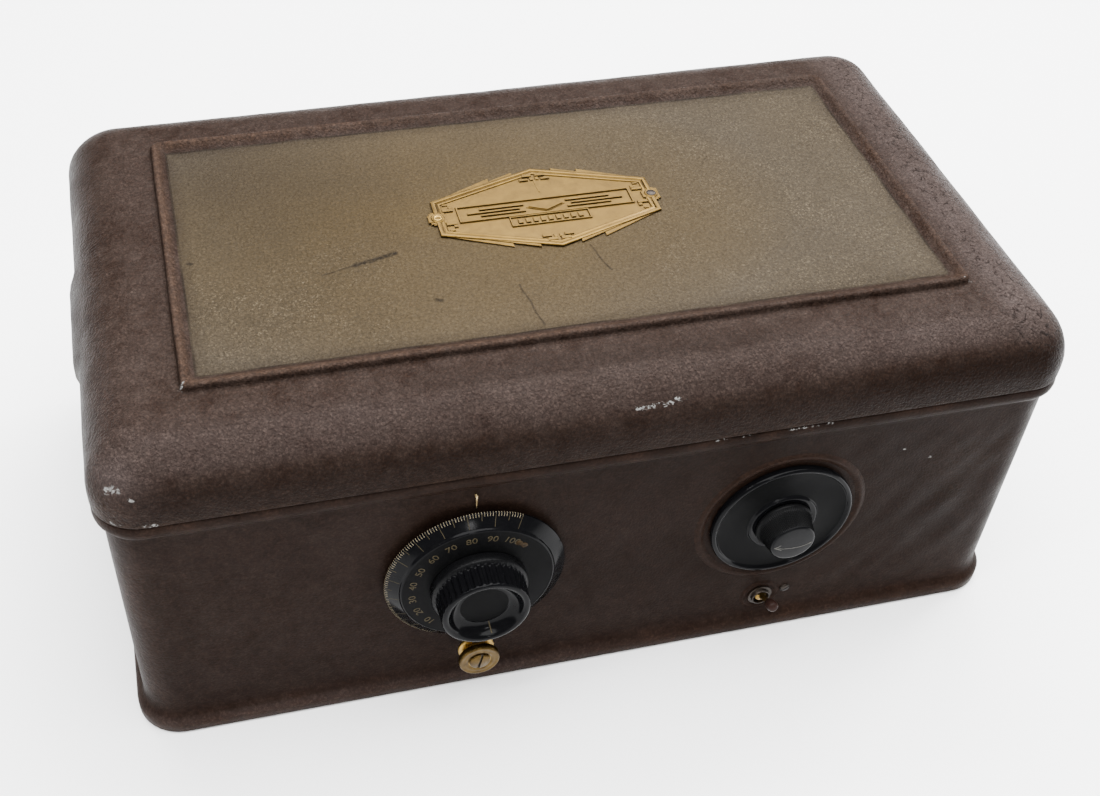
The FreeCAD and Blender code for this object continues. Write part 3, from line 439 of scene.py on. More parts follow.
def paint_material(name, dark, mid, bloom, wear_colour, rough, relief, cloud_mm, chips_and_glints=()):
    """Brown crinkle enamel: fine grain, brown and grey-violet patches, rubbed and chipped places, painted
    glints, and painted light and shade on the grain's relief. The wear attribute brings through the worn
    colour, in places as a painted highlight, a second attribute a greyish film that is mostly painted sheen,
    a third painted shade, and crease deep folds, whose cracks take painted shade."""
    shader = Shader(name, rough, specular=0.016)
    uneven = shader.warped(2.0, 1.6)
    pebble = shader.cells(1.3, "SMOOTH_F1", 0.3, uneven)
    hollows = shader.ramp(shader.cells(1.8, "DISTANCE_TO_EDGE", coords=uneven), [(0.0, 0.0), (0.14, 1.0)])
    grain = shader.noise(1.3, 4.0, 0.7, 0.6)
    fold = shader.noise(10.0, 4.0, 0.6, 0.8)
    crack = shader.cells(6.0, "DISTANCE_TO_EDGE", coords=shader.warped(9.0, 7.0))
    crack = shader.ramp(crack, [(0.0, 0.75), (0.09, 0.0)])
    broken = shader.ramp(shader.noise(3.6, 4.0, 0.65), [(0.47, 0.0), (0.60, 1.0)])
    crack = shader.math("MULTIPLY", crack, shader.math("MULTIPLY", broken, shader.attribute("crease")))
    patches = shader.ramp(shader.noise(cloud_mm, 5.0, 0.66, 0.5), [(0.36, 0.0), (0.62, 1.0)])
    mottle = shader.ramp(shader.noise(6.0, 5.0, 0.7, 0.5), [(0.36, 0.0), (0.66, 1.0)])
    base = shader.mix(patches, dark, mid)
    base = shader.mix(shader.math("MULTIPLY", mottle, 0.5), base, bloom)
    # Painted sheen, and a grey film on the case's plinth, mixed in by its attribute.
    base = shader.mix(shader.attribute("dust_and_sheen"), base, (0.060, 0.046, 0.042))
    # Painted shade: dark brown mixed in by its attribute.
    base = shader.mix(shader.attribute("painted_shade"), base, (0.0062, 0.0027, 0.0014))
    wear_and_highlight = shader.attribute("wear_and_highlight")
    flecks = shader.ramp(shader.noise(2.2, 5.0, 0.7, 0.3), [(0.36, 0.25), (0.60, 1.0)])
    base = shader.mix(shader.math("MULTIPLY", wear_and_highlight, flecks), base, wear_colour)
    # Painted light and shade of the grain's relief: the grain darkens the colour in its low places.
    light = shader.ramp(grain, [(0.32, 0.42), (0.5, 0.60), (0.66, 1.0)])
    base = shader.mix(1.0, base, light, "MULTIPLY")
    # Painted shade in the hollows between the pebbles and in the cracks of the deep folds.
    base = shader.mix(shader.ramp(hollows, [(0.0, 0.40 * relief), (1.0, 0.0)]), base, CREVICE_SHADE)
    base = shader.mix(crack, base, CREVICE_SHADE)
    ragged = shader.ramp(shader.noise(1.4, 3.0, 0.7), [(0.47, 0.0), (0.55, 1.0)])
    # Chips and painted glints take a near-white colour.
    for start, finish, width in chips_and_glints:
        spot = shader.math("MULTIPLY", shader.stroke(start, finish, width, shader.warped(3.0, 1.6)), ragged)
        base = shader.mix(spot, base, CHIP_AND_GLINT_WHITE)
    shader.colour(base)
    shader.roughness(shader.ramp(shader.noise(16, 3.0, 0.6), [(0.3, rough - 0.07), (0.7, rough + 0.09)]))
    shader.bump(fold, 0.9, 0.6 * relief)
    shader.bump(shader.ramp(pebble, [(0.0, 1.0), (0.75, 0.0)]), 0.34, 0.8 * relief)
    shader.bump(grain, 0.30, 0.8 * relief)
    shader.bump(crack, 0.6, 1.0)
    return shader.material


# Painted shade for crevices, and the near-white of chips and painted glints.
CREVICE_SHADE = (0.0035, 0.0024, 0.0020)
CHIP_AND_GLINT_WHITE = (0.150, 0.148, 0.142)

# Scratches in the panel: start, finish, width, depth of colour.
SCRATCHES = (
    ((-111, -26.6), (-92, -21.2), 0.7, 0.6),
    ((-95, -22.0), (-76, -17.0), 1.9, 0.95),
    ((-25, -50), (-21, -79), 0.7, 0.7),
    ((14.5, -28.4), (19.2, -48.2), 0.7, 0.7),
    ((-63.5, -53), (-61.5, -54), 1.5, 0.8),
    ((-168.5, -6), (-167, -7), 1.3, 0.9),
    ((88, 22), (93, 30), 0.5, 0.4),
)


def panel_material():
    """Gold-green hammered lacquer, golden in the middle and grey at its edges, dark scratches and nicks,
    painted glints, and painted light and shade of its hammering. Painted shade darkens it where it runs up
    the moulding and towards its back left corner."""
    shader = Shader("panel_lacquer", 0.34, specular=0.020)
    uneven = shader.warped(2.2, 1.8)
    pebble = shader.cells(1.3, "SMOOTH_F1", 0.4, uneven)
    grain = shader.noise(1.3, 4.0, 0.7, 0.5)
    golden = shader.attribute("golden")
    patches = shader.ramp(shader.noise(60, 4.0, 0.6, 0.5), [(0.34, 0.0), (0.66, 1.0)])
    base = shader.mix(golden, (0.0460, 0.0362, 0.0248), (0.0510, 0.0350, 0.0158))
    base = shader.mix(shader.math("MULTIPLY", patches, 0.35), base, (0.0330, 0.0250, 0.0155))
    # Painted shade on the panel, most at its back left corner.
    base = shader.mix(shader.attribute("painted_shade"), base, (0.0120, 0.0090, 0.0062))
    # Painted light and shade of the hammered relief: the grain darkens the colour in its low places.
    light = shader.ramp(grain, [(0.34, 0.50), (0.5, 0.64), (0.62, 0.84), (0.74, 1.0)])
    base = shader.mix(1.0, base, light, "MULTIPLY")
    # Painted shade on the hammered cells and painted glints, both where the glint attribute is high.
    sparkle = shader.attribute("sparkle")
    hammered = shader.ramp(pebble, [(0.05, 1.0), (0.35, 0.92), (0.7, 0.72)])
    base = shader.mix(sparkle, base, shader.mix(1.0, base, hammered, "MULTIPLY"))
    glint = shader.ramp(shader.noise(1.0, 3.0, 0.8), [(0.56, 0.0), (0.70, 0.65)])
    lit = shader.ramp(shader.noise(30, 3.0), [(0.40, 0.35), (0.62, 1.0)])
    glint = shader.math("MULTIPLY", glint, shader.math("MULTIPLY", lit, sparkle))
    base = shader.mix(glint, base, (0.150, 0.120, 0.078))
    flat = shader.vector("MULTIPLY", shader.warped(2.4, 11.0), (1, 1, 0))
    broken = shader.ramp(shader.noise(1.8, 4.0, 0.7), [(0.3, 0.25), (0.55, 1.0)])
    for start, finish, width, depth in SCRATCHES:
        mark = shader.math("MULTIPLY", shader.stroke((*start, 0), (*finish, 0), width, flat), broken)
        base = shader.mix(shader.math("MULTIPLY", mark, depth), base, (0.006, 0.0045, 0.003))
    # Painted shade at the foot of the moulding.
    base = shader.mix(shader.attribute("cove"), base, (0.0075, 0.0052, 0.0036))
    shader.colour(base)
    shader.roughness(shader.ramp(shader.noise(9, 3.0, 0.6), [(0.3, 0.34), (0.7, 0.50)]))
    shader.bump(shader.noise(14, 3.0, 0.5, 0.5), 0.6, 0.4)
    shader.bump(shader.ramp(pebble, [(0.0, 1.0), (0.8, 0.0)]), 0.40, 1.0)
    shader.bump(grain, 0.26, 0.9)
    return shader.material


def bakelite_material(name="black_bakelite", colour=(0.0018, 0.0018, 0.0021), rough=0.11, specular=0.04):
    shader = Shader(name, rough, specular=specular)
    dust = shader.ramp(shader.noise(3.0, 5.0, 0.7), [(0.45, 0.0), (0.8, 1.0)])
    haze = tuple(c + 0.0022 for c in colour)
    shader.colour(shader.mix(shader.math("MULTIPLY", dust, 0.5), colour, haze))
    shader.roughness(shader.ramp(shader.noise(12, 4.0, 0.6), [(0.3, rough - 0.05), (0.75, rough + 0.12)]))
    shader.bump(shader.noise(0.5, 2.0), 0.02, 0.25)
    return shader.material


def brass_material(name, colour, dark, rough):
    shader = Shader(name, rough, metallic=1.0)
    tarnish = shader.ramp(shader.noise(4.0, 5.0, 0.65, 0.3), [(0.38, 0.0), (0.72, 1.0)])
    shader.colour(shader.mix(tarnish, colour, dark))
    shader.roughness(shader.ramp(shader.noise(2.5, 4.0, 0.6), [(0.3, rough - 0.06), (0.75, rough + 0.14)]))
    return shader.material


def metal_material(name, colour, dark, rough, metallic=1.0, grain=(1, 1, 1)):
    shader = Shader(name, rough, metallic=metallic)
    cloud = shader.ramp(shader.noise(18.0, 4.0, 0.6, 0.4), [(0.35, 0.0), (0.7, 1.0)])
    shader.colour(shader.mix(cloud, colour, dark))
    shader.roughness(shader.ramp(shader.noise(5.0, 4.0, 0.6), [(0.3, rough - 0.08), (0.75, rough + 0.12)]))
    shader.bump(shader.noise(0.6, 2.0, coords=shader.stretched(grain)), 0.03, 0.3)
    return shader.material


def board_material():
    """Laminated phenolic sheet: brown, faint fibre."""
    shader = Shader("phenolic", 0.45, specular=0.10)
    fibre = shader.noise(1.2, 4.0, 0.6, coords=shader.stretched((0.25, 1, 1)))
    streaks = shader.ramp(fibre, [(0.35, 0.0), (0.7, 1.0)])
    shader.colour(shader.mix(streaks, (0.048, 0.019, 0.0070), (0.085, 0.037, 0.0140)))
    shader.bump(fibre, 0.03, 0.3)
    return shader.material


def cloth_material():
    """Cotton braid over hook-up wire."""
    shader = Shader("cotton_braid", 0.85, specular=0.05)
    weave = shader.cells(0.7)
    raised = shader.ramp(weave, [(0.1, 0.0), (0.6, 1.0)])
    shader.colour(shader.mix(raised, (0.036, 0.018, 0.007), (0.080, 0.045, 0.018)))
    shader.bump(weave, 0.15, 0.7)
    return shader.material


def glass_material():
    shader = Shader("blown_glass", 0.02, specular=0.5)
    shader.bsdf.inputs["Transmission Weight"].default_value = 1.0
    shader.bsdf.inputs["IOR"].default_value = 1.48
    shader.bsdf.inputs["Base Color"].default_value = (0.93, 0.95, 0.94, 1)
    shader.bump(shader.noise(18, 2.0), 0.1, 0.15)
    return shader.material


def lacquer_material(name, colour):
    """Black lacquer on a steel can."""
    shader = Shader(name, 0.3, specular=0.05)
    cloud = shader.ramp(shader.noise(22.0, 4.0, 0.6), [(0.35, 0.0), (0.75, 1.0)])
    shader.colour(shader.mix(cloud, colour, tuple(c * 1.8 + 0.002 for c in colour)))
    shader.bump(shader.noise(1.4, 3.0, 0.5), 0.05, 0.35)
    return shader.material


def paper_material():
    shader = Shader("varnished_paper", 0.5, specular=0.08)
    fibre = shader.noise(2.0, 5.0, 0.7)
    shader.colour(shader.mix(fibre, (0.060, 0.034, 0.013), (0.125, 0.080, 0.036)))
    shader.bump(fibre, 0.08, 0.4)
    return shader.material


def rubber_material():
    shader = Shader("old_rubber", 0.75, specular=0.04)
    shader.colour(shader.mix(shader.noise(3.0, 4.0), (0.0045, 0.0045, 0.0045), (0.011, 0.010, 0.0095)))
    shader.bump(shader.noise(0.6, 3.0), 0.05, 0.4)
    return shader.material


def ink_material(name, colour, rough=0.6):
    """Filled engraving: slightly uneven paint."""
    shader = Shader(name, rough, specular=0.06)
    loss = shader.ramp(shader.noise(1.0, 4.0, 0.7), [(0.35, 0.0), (0.7, 1.0)])
    shader.colour(shader.mix(loss, colour, tuple(c * 0.45 for c in colour)))
    return shader.material


def stipple_relief(material):
    """Fine stippling over a moulded surface."""
    tree = material.node_tree
    coords = tree.nodes.new("ShaderNodeTexCoord").outputs["Object"]
    grain = tree.nodes.new("ShaderNodeTexNoise")
    grain.inputs["Scale"].default_value = 1400.0
    bump = tree.nodes.new("ShaderNodeBump")
    bump.inputs["Strength"].default_value = 0.9
    bump.inputs["Distance"].default_value = 0.25 * MM
    tree.links.new(coords, grain.inputs["Vector"])
    tree.links.new(grain.outputs["Fac"], bump.inputs["Height"])
    tree.links.new(bump.outputs["Normal"], tree.nodes["Principled BSDF"].inputs["Normal"])


def badge_material():
    """Stamped brass with dirt left in the recesses."""
    shader = Shader("stamped_brass", 0.36, metallic=0.92)
    ao = shader.add("ShaderNodeAmbientOcclusion", samples=8, inside=False)
    ao.inputs["Distance"].default_value = 1.6 * MM
    open_sky = shader.ramp(ao.outputs["AO"], [(0.45, 0.0), (0.92, 1.0)])
    tarnish = shader.ramp(shader.noise(6.0, 5.0, 0.65, 0.4), [(0.38, 0.0), (0.72, 1.0)])
    clean = shader.mix(tarnish, (0.086, 0.050, 0.0088), (0.058, 0.033, 0.0058))
    shader.colour(shader.mix(open_sky, (0.014, 0.0075, 0.0026), clean))
    shader.roughness(shader.ramp(shader.noise(2.5, 4.0, 0.6), [(0.3, 0.30), (0.75, 0.46)]))
    shader.bump(shader.noise(0.9, 3.0, 0.5), 0.05, 0.35)
    return shader.material


# ---- lid ----

GRIP_Y = -8.0
GRIP_HALF = 35.5
GRIP_RAMP = 11.0
GRIP_TOP = 171.0
MOULDING_X = 179.0
MOULDING_Y = 90.5
PANEL_X = 171.6
PANEL_Y = 81.7


def lid_rings():
    """Rings from the middle of the inside, down and out round the lip, and up to the panel."""
    rings = []
    edge_z = LID_TOP - LID_EDGE

    def dome(inset, steps):
        turn = LID_EDGE - inset
        for step in range(steps + 1):
            angle = math.radians(90 * step / steps)
            draw = LID_EDGE - turn * math.cos(angle)
            radius = LID_CORNER - inset - 0.6 * (draw - inset)
            yield LID_X - draw, LID_Y - draw, radius, edge_z + turn * math.sin(angle)

    inner = list(dome(SHEET, 10))
    top_x, top_y, _, top_z = inner[-1]
    for share in (0.02, 0.5):
        rings.append((top_x - top_y * (1 - share), top_y * share, 1.0, top_z))
    rings += reversed(inner)
    rings.append((LID_X - SHEET, LID_Y - SHEET, LID_CORNER - SHEET, LID_BOTTOM + 0.5))
    rings.append((LID_X - 1.1, LID_Y - 1.1, LID_CORNER - 1.1, LID_BOTTOM + 0.05))
    rings.append((LID_X - 0.5, LID_Y - 0.5, LID_CORNER - 0.5, LID_BOTTOM))
    rings.append((LID_X - 0.1, LID_Y - 0.1, LID_CORNER - 0.1, LID_BOTTOM + 0.4))
    rings.append((LID_X, LID_Y, LID_CORNER, LID_BOTTOM + 1.2))
    rings.append((LID_X, LID_Y, LID_CORNER, LID_BOTTOM + 3.5))
    rings += dome(0.0, 22)
    flat_x, flat_y, flat_radius, _ = rings[-1]
    foot_x, foot_y = MOULDING_X + 0.6, MOULDING_Y + 0.6
    for share in (0.25, 0.5, 0.75, 0.93):
        rings.append((flat_x + (foot_x - flat_x) * share, flat_y + (foot_y - flat_y) * share,
                      flat_radius + (4.2 - flat_radius) * share, LID_TOP))
    crest = MOULDING_CREST - LID_TOP
    section = ((-0.04, 0.0), (0.0, 0.15), (0.03, 0.5), (0.07, 0.78), (0.14, 0.94), (0.23, 1.0), (0.33, 0.96),
               (0.43, 0.84), (0.54, 0.62), (0.66, 0.40), (0.78, 0.21), (0.9, 0.08), (1.0, 0.02), (1.06, 0.0))
    for share, height in section:
        across_x = MOULDING_X + (PANEL_X - MOULDING_X) * share
        across_y = MOULDING_Y + (PANEL_Y - MOULDING_Y) * share
        rings.append((across_x, across_y, 4.0 - share, LID_TOP + crest * height))
    start_x, start_y = rings[-1][:2]
    rows = 26
    for row in range(1, rows + 1):
        shrink = start_y * row / (rows + 0.2)
        rings.append((start_x - shrink, start_y - shrink, 2.9 * (1 - row / rows), LID_TOP))
    return rings


def lid_relief(x, y, z):
    """Unevenness of the pressed and painted lid, in millimetres along the normal."""
    slow = 0.30 * bumps(x, y, z, 46, 3.1)
    dimple = 0.16 * bumps(x, y, z, 13, 7.7)
    on_panel = ease(PANEL_X - abs(x), 0, 6) * ease(PANEL_Y - abs(y), 0, 6)
    return (slow + dimple) * (1 - 0.65 * on_panel)


def moulding_share(x, y):
    """0 at the foot of the moulding outside, 1 at its foot inside, measured across it."""
    return min((MOULDING_X - abs(x)) / (MOULDING_X - PANEL_X), (MOULDING_Y - abs(y)) / (MOULDING_Y - PANEL_Y))


def lid_wear(x, y, z):
    """Where the paint has rubbed: the crest of the moulding, most at the front left, and the lower edge."""
    crest = ease(z, LID_TOP + 0.3, MOULDING_CREST - 0.3) * ease(moulding_share(x, y), 0.02, 0.2)
    rubbed = 0.22 + 0.40 * ease(-x - 0.4 * y, -60, 150) + 0.30 * bumps(x, y, z, 26, 5)
    lip = 1 - ease(z, LID_BOTTOM + 0.6, LID_BOTTOM + 2.6)
    corner = ease(-x, 196, 222) * ease(-y, 90, 131) * (1 - ease(z, 158, 174))
    patchy = ease(bumps(x, y, z, 20, 9), 0.0, 0.4)
    return max(crest * min(1.0, rubbed), lip * (0.10 + 0.3 * patchy), corner * 0.45, 0.0)


def glow_line(x):
    """Height on the rounded front edge where the painted sheen on the lid starts and the painted shade below
    it ends.
    """
    return 170.0 + 4 * ease(x, 0, 190)


def lid_dust(x, y, z):
    """Painted sheen: a lighter greyish film on the upper turn of the front edge, the right border, the front
    left corner and faintly the left border, where light falls.
    """
    line = glow_line(x)
    front = ease(-y, 96, 106) * ease(z, line - 2, line + 4) * (1 - 0.8 * ease(z, 181, 183.4))
    right = ease(x, 178, 192) * ease(z, 171, 178)
    corner = math.exp(-((x + 212) ** 2 + (y + 121) ** 2 + (z - 168) ** 2) / 260)
    left = ease(-x, 184, 206) * ease(-y, 20, 100) * ease(z, 168, 178)
    uneven = 1 + 0.35 * bumps(x, y, z, 24, 11)
    front *= 0.19 + 0.17 * ease(x, 80, 170) + 0.08 * ease(-x, 60, 190)
    return min(1.0, max(front, 0.42 * right, 0.8 * corner, 0.12 * left) * uneven)


def lid_soil(x, y, z):
    """Painted shade on the lid's sides below the lit upper turn, stronger to the right, and on the panel
    towards the left, most at its back left corner; the middle of the top border's front is darker too.
    """
    line = glow_line(x)
    band = (1 - ease(z, line - 7, line + 1)) * (0.46 + 0.34 * ease(x, 40, 200))
    if z < 182.5:
        return band
    if moulding_share(x, y) > 0.9:
        corner = math.exp(-((x + 135) ** 2 / 6000 + (y - 45) ** 2 / 3000))
        return max(0.0, 0.44 * corner + 0.12 * ease(-x, 20, 170) + 0.10 * bumps(x, y, z, 50, 16))
    return 0.34 * ease(-y, 94, 104) * ease(x, -130, -40) * (1 - ease(x, 60, 110))


def sparkle(x, y, z):
    """How strongly the panel takes painted glints and painted shade of its hammering: most on the right half
    and the front left.
    """
    left = ease(-x, 40, 130) * ease(-y, -30, 50)
    return 0.12 + 0.62 * max(ease(x, -10, 110), left) * (1 + 0.5 * bumps(x, y, z, 30, 15))


def cove(x, y, z):
    """Painted shade: a dark line where the panel meets the moulding, fading into the panel."""
    share = moulding_share(x, y)
    line = (1 - ease(share, 0.98, 1.12)) * (0.85 + 0.5 * bumps(x, y, z, 18, 2))
    return min(1.0, max(line, 0.30 * (1 - ease(share, 1.1, 1.9)), 0.0))


def make_lid(paint, panel):
    rings = []
    for half_x, half_y, radius, z in lid_rings():
        rings.append([(x, y, z) for x, y in rounded_loop(half_x, half_y, radius)])
    lid = ring_skin("lid_shell", rings, paint)
    close_ends(lid, len(rings[0]))
    outward(lid)
    points = lid.data.vertices
    normals = [v.normal.copy() for v in points]
    for vertex, normal in zip(points, normals):
        x, y, z = vertex.co / MM
        hold = ease(z, LID_BOTTOM + 2, LID_BOTTOM + 12)
        outside = 1.0 if normal.dot(Vector((x / LID_X, y / LID_Y, 0.5))) > 0 else 0.0
        vertex.co += normal * lid_relief(x, y, z) * hold * outside * MM
        along = ease(GRIP_HALF - abs(y - GRIP_Y), 0, GRIP_RAMP)
        up = 1 - ease(z, GRIP_TOP - 17, GRIP_TOP)
        face = ease(abs(x), LID_X - 7, LID_X - 2)
        vertex.co.x += math.copysign(GRIP_OUT * along * up * face, x) * MM
        vertex.co = Vector(min(max(place, low), high) for place, low, high in zip(vertex.co, *cad_bounds))
    for name, measure in (("wear_and_highlight", lid_wear), ("golden", golden), ("cove", cove), ("dust_and_sheen", lid_dust),
                          ("painted_shade", lid_soil), ("sparkle", sparkle)):
        set_attribute(lid, name, [measure(*(v.co / MM)) for v in points])
    set_attribute(lid, "crease", [ease(v.co.x / MM, 182, 192) * ease(v.co.z / MM, 160, 172) for v in points])
    lid.data.materials.append(panel)
    for face in lid.data.polygons:
        x, y, z = face.center / MM
        if moulding_share(x, y) > 0.93 and z > LID_TOP - 0.8:
            face.material_index = 1
    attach(lid, "lid")
    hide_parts("lid")


def close_ends(thing, count):
    """Closes the first and the last ring of a ring skin."""
    mesh = bmesh.new()
    mesh.from_mesh(thing.data)
    mesh.verts.ensure_lookup_table()
    total = len(mesh.verts)
    for first in (0, total - count):
        ring = [mesh.verts[first + step] for step in range(count)]
        mesh.faces.new(ring).smooth = True
    mesh.to_mesh(thing.data)
    mesh.free()


def golden(x, y, z):
    """More golden left of the middle of the panel, greyer at its edges and to the right."""
    return max(0.0, 1 - ((x + 45) / 170) ** 2 - (y / 100) ** 2) ** 0.8 + 0.12 * bumps(x, y, z, 60, 4)


# ---- case ----

def case_rings():
    """Rings from the inside of the base flange round the plinth, up the wall and over the rim."""
    section = [(-16.0, 2.7), (-16.0, 1.2), (-3.6, 1.2), (-3.6, 0.0), (2.4, 0.0), (PLINTH_OUT, 1.6)]
    section += [(PLINTH_OUT, 7.2), (2.9, 9.2), (1.5, 10.2), (0.5, 11.8), (0.0, 14.5)]
    section += [(0.0, z) for z in range(17, 139, 3)]
    section += [(0.0, 139.2), (0.9, 140.0), (2.4, 141.0), (3.4, 142.6), (3.65, 144.2), (3.5, 146.0)]
    section += [(3.1, 147.4), (2.7, 148.3), (2.0, LID_BOTTOM - 0.2), (1.4, LID_BOTTOM - 0.1)]
    section += [(1.4, SPIGOT_TOP - 0.4), (1.0, SPIGOT_TOP), (0.3, SPIGOT_TOP), (-0.1, SPIGOT_TOP - 0.4)]
    section += [(-0.1, 149.5), (-SHEET, 146.0), (-SHEET, 100.0), (-SHEET, 50.0), (-SHEET, 2.7)]
    return section


# Fittings that the front is flat round: place, and radii where the flat ends and the waves are full.
FITTINGS = (
    (DIAL_X, DIAL_Z, 10, 26), (VOLUME_X, DIAL_Z, 37, 56), (DIAL_X, THUMB_Z, 7, 16),
    (TOGGLE.x, TOGGLE.z, 8, 18), (PLATE_SCREW_X, PLATE_SCREW_Z, 4, 10), (DIAL_X, DIAL_Z + 51, 4, 12),
)


def front_wave(x, z):
    """How far the front sheet stands off its true plane: shallow waves, stronger at the right."""
    calm = ease(z, 12, 30) * (1 - ease(z, 118, 136)) * (1 - ease(abs(x), 196, 208))
    right = 0.25 + 0.75 * ease(x, 20, 150)
    streak = noise.noise(Vector(((x - 0.9 * z) / 15, (z + 0.9 * x) / 46, 4.0)))
    slow = noise.noise(Vector((x / 70, z / 45, 9.0)))
    for place_x, place_z, inner, outer in FITTINGS:
        calm *= ease(math.hypot(x - place_x, z - place_z), inner, outer)
    return calm * (0.8 * right * streak + 0.35 * slow)


def case_wear(x, y, z):
    rim = ease(z, 139, 142) * (1 - ease(z, 147.5, 150))
    plinth = 1 - ease(z, 6, 10)
    spots = ease(bumps(x, y, z, 16, 8), 0.0, 0.45)
    # Down the front left corner the worn colour is partly wear, partly a painted highlight.
    corner = ease(-x, 203, 216) * ease(-y, 108, 122) * ease(bumps(x, y, z, 22, 13), -0.3, 0.4)
    step = 1 - ease(z, 10, 15)
    return max(rim * 0.35 * spots, plinth * (0.45 + 0.4 * spots), 0.3 * step * spots, 0.5 * corner)


def case_dust(x, y, z):
    """Greyish film on the left half of the plinth, and a painted highlight down the front right corner."""
    plinth = (1 - ease(z, 8, 11)) * (1 - ease(x, -60, 60))
    right = ease(x, 212, 217) * ease(-y, 100, 118) * ease(z, 12, 30)
    return (0.40 * plinth + 0.14 * right) * (1 + 0.5 * bumps(x, y, z, 18, 12))


def case_soil(x, y, z):
    """Painted shade on the front: darker to the right and towards the top under the lid, in broad uneven
    clouds.
    """
    front = ease(-y, 118, 126) * (0.16 + 0.44 * ease(x, -170, 90)) * (0.25 + 0.75 * ease(z, 10, 62))
    return max(0.0, front * (1 + 0.45 * bumps(x, y, z, 38, 14)))


def make_case(paint):
    rings = []
    for out, z in case_rings():
        loop = rounded_loop(CASE_X + out, CASE_Y + out, CASE_CORNER + out, 150, 76)
        rings.append([(x, y, z) for x, y in loop])
    rings.append(rings[0])
    case = ring_skin("case_shell", rings, paint)
    outward(case)
    for vertex in case.data.vertices:
        x, y, z = vertex.co / MM
        if y < FRONT + 0.2 and 12 < z < 140:
            vertex.co.y += front_wave(x, z) * MM
        elif 14 < z < 138 and (abs(x) > CASE_X - 0.2 or y > CASE_Y - 0.2):
            calm = ease(z, 14, 30) * (1 - ease(z, 120, 138))
            vertex.co += vertex.normal * 0.35 * bumps(x, y, z, 40, 6) * calm * MM
    for name, measure in (("wear_and_highlight", case_wear), ("dust_and_sheen", case_dust), ("painted_shade", case_soil)):
        set_attribute(case, name, [measure(*(v.co / MM)) for v in case.data.vertices])
    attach(case, "cabinet")
    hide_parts("case_body")
    rings_on_front = (
        ("volume_ring", 40.7, 2.6, 1.0, VOLUME_X, DIAL_Z), ("switch_ring", 8.9, 1.9, 0.8, TOGGLE.x, TOGGLE.z),
    )
    for name, radius, half, height, x, z in rings_on_front:
        profile = []
        for step in range(13):
            share = -1 + step / 6
            rise = height * (0.5 + 0.5 * math.cos(math.pi * share)) - 0.03
            profile.append((radius + half * share, rise))
        profile.append((radius, -0.4))
        profile.append(profile[0])
        boss = lathe(name, profile, x, z, paint, 128, wave=front_wave)
        set_attribute(boss, "wear_and_highlight", [0.18] * len(boss.data.vertices))
        # The rings take the painted shade of the front round them.
        set_attribute(boss, "painted_shade", [0.35] * len(boss.data.vertices))
        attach(boss, "cabinet")


# ---- small shapes on the front ----

def place_piece(thing, body, slot, *nodes):
    """Rides a piece on its body and, if it stands for CAD nodes, replaces them. The slot argument is not
    used.
    """
    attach(thing, body)
    if nodes:
        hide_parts(*nodes)


def paint_faces(thing, material, test, x, z):
    """Gives a second material to the faces of a lathe piece whose (radius, depth) pass a test."""
    thing.data.materials.append(material)
    slot = len(thing.data.materials) - 1
    for face in thing.data.polygons:
        cx, cy, cz = face.center / MM
        if test(math.hypot(cx - x, cz - z), FRONT - cy):
            face.material_index = slot


def bar_faces(faces, start, sections):
    """Adds the sides and ends of a four-cornered bar whose points begin at start."""
    for level in range(sections - 1):
        a = start + 4 * level
        for corner in range(4):
            b = (corner + 1) % 4
            faces.append((a + corner, a + b, a + 4 + b, a + 4 + corner))
    last = start + 4 * (sections - 1)
    faces.append((start + 3, start + 2, start + 1, start))
    faces.append((last, last + 1, last + 2, last + 3))


STRIP_SUNK = 0.15


def strip(points, faces, path, angle, width, proud, x, z):
    """Adds a thin bar lying on a turned surface: the path is (radius, depth) at one clockwise angle."""
    turn = math.radians(angle)
    radial = Vector((math.sin(turn), 0, math.cos(turn)))
    across = Vector((math.cos(turn), 0, -math.sin(turn)))
    front = Vector((0, -1, 0))
    centre = Vector((x, FRONT, z))
    start = len(points)
    for index, (radius, depth) in enumerate(path):
        before = path[max(0, index - 1)]
        after = path[min(len(path) - 1, index + 1)]
        run = Vector((after[0] - before[0], after[1] - before[1])).normalized()
        lift = radial * run.y - front * run.x
        if lift.dot(radial + front) < 0:
            lift = -lift
        here = centre + radial * radius + front * depth
        for side, height in ((-1, -STRIP_SUNK), (1, -STRIP_SUNK), (1, proud), (-1, proud)):
            points.append(tuple(here + across * side * width / 2 + lift * height))
    bar_faces(faces, start, len(path))


def prism(name, outline, low, high, material, bevel=0.0, steps=2):
    """Upright prism on a level outline, its top edge rounded over."""
    mesh = bmesh.new()
    ring = [mesh.verts.new(Vector((x, y, low)) * MM) for x, y in outline]
    base = mesh.faces.new(ring)
    raised = bmesh.ops.extrude_face_region(mesh, geom=[base])["geom"]
    bmesh.ops.translate(mesh, verts=[g for g in raised if isinstance(g, bmesh.types.BMVert)],
                        vec=Vector((0, 0, high - low)) * MM)
    bmesh.ops.recalc_face_normals(mesh, faces=mesh.faces)
    if bevel:
        edges = [e for e in mesh.edges if all(v.co.z > high * MM - 1e-6 for v in e.verts)]
        bmesh.ops.bevel(mesh, geom=edges, offset=bevel * MM, segments=steps, affect="EDGES")
    data = bpy.data.meshes.new(name)
    mesh.to_mesh(data)
    mesh.free()
    data.materials.append(material)
    thing = bpy.data.objects.new(name, data)
    bpy.context.scene.collection.objects.link(thing)
    return thing


def join(name, things):
    """Joins meshes into one object under a new name."""
    bpy.ops.object.select_all(action="DESELECT")
    for thing in things:
        thing.select_set(True)
    bpy.context.view_layer.objects.active = things[0]
    bpy.ops.object.join()
    things[0].name = name
    things[0].data.name = name
    return things[0]


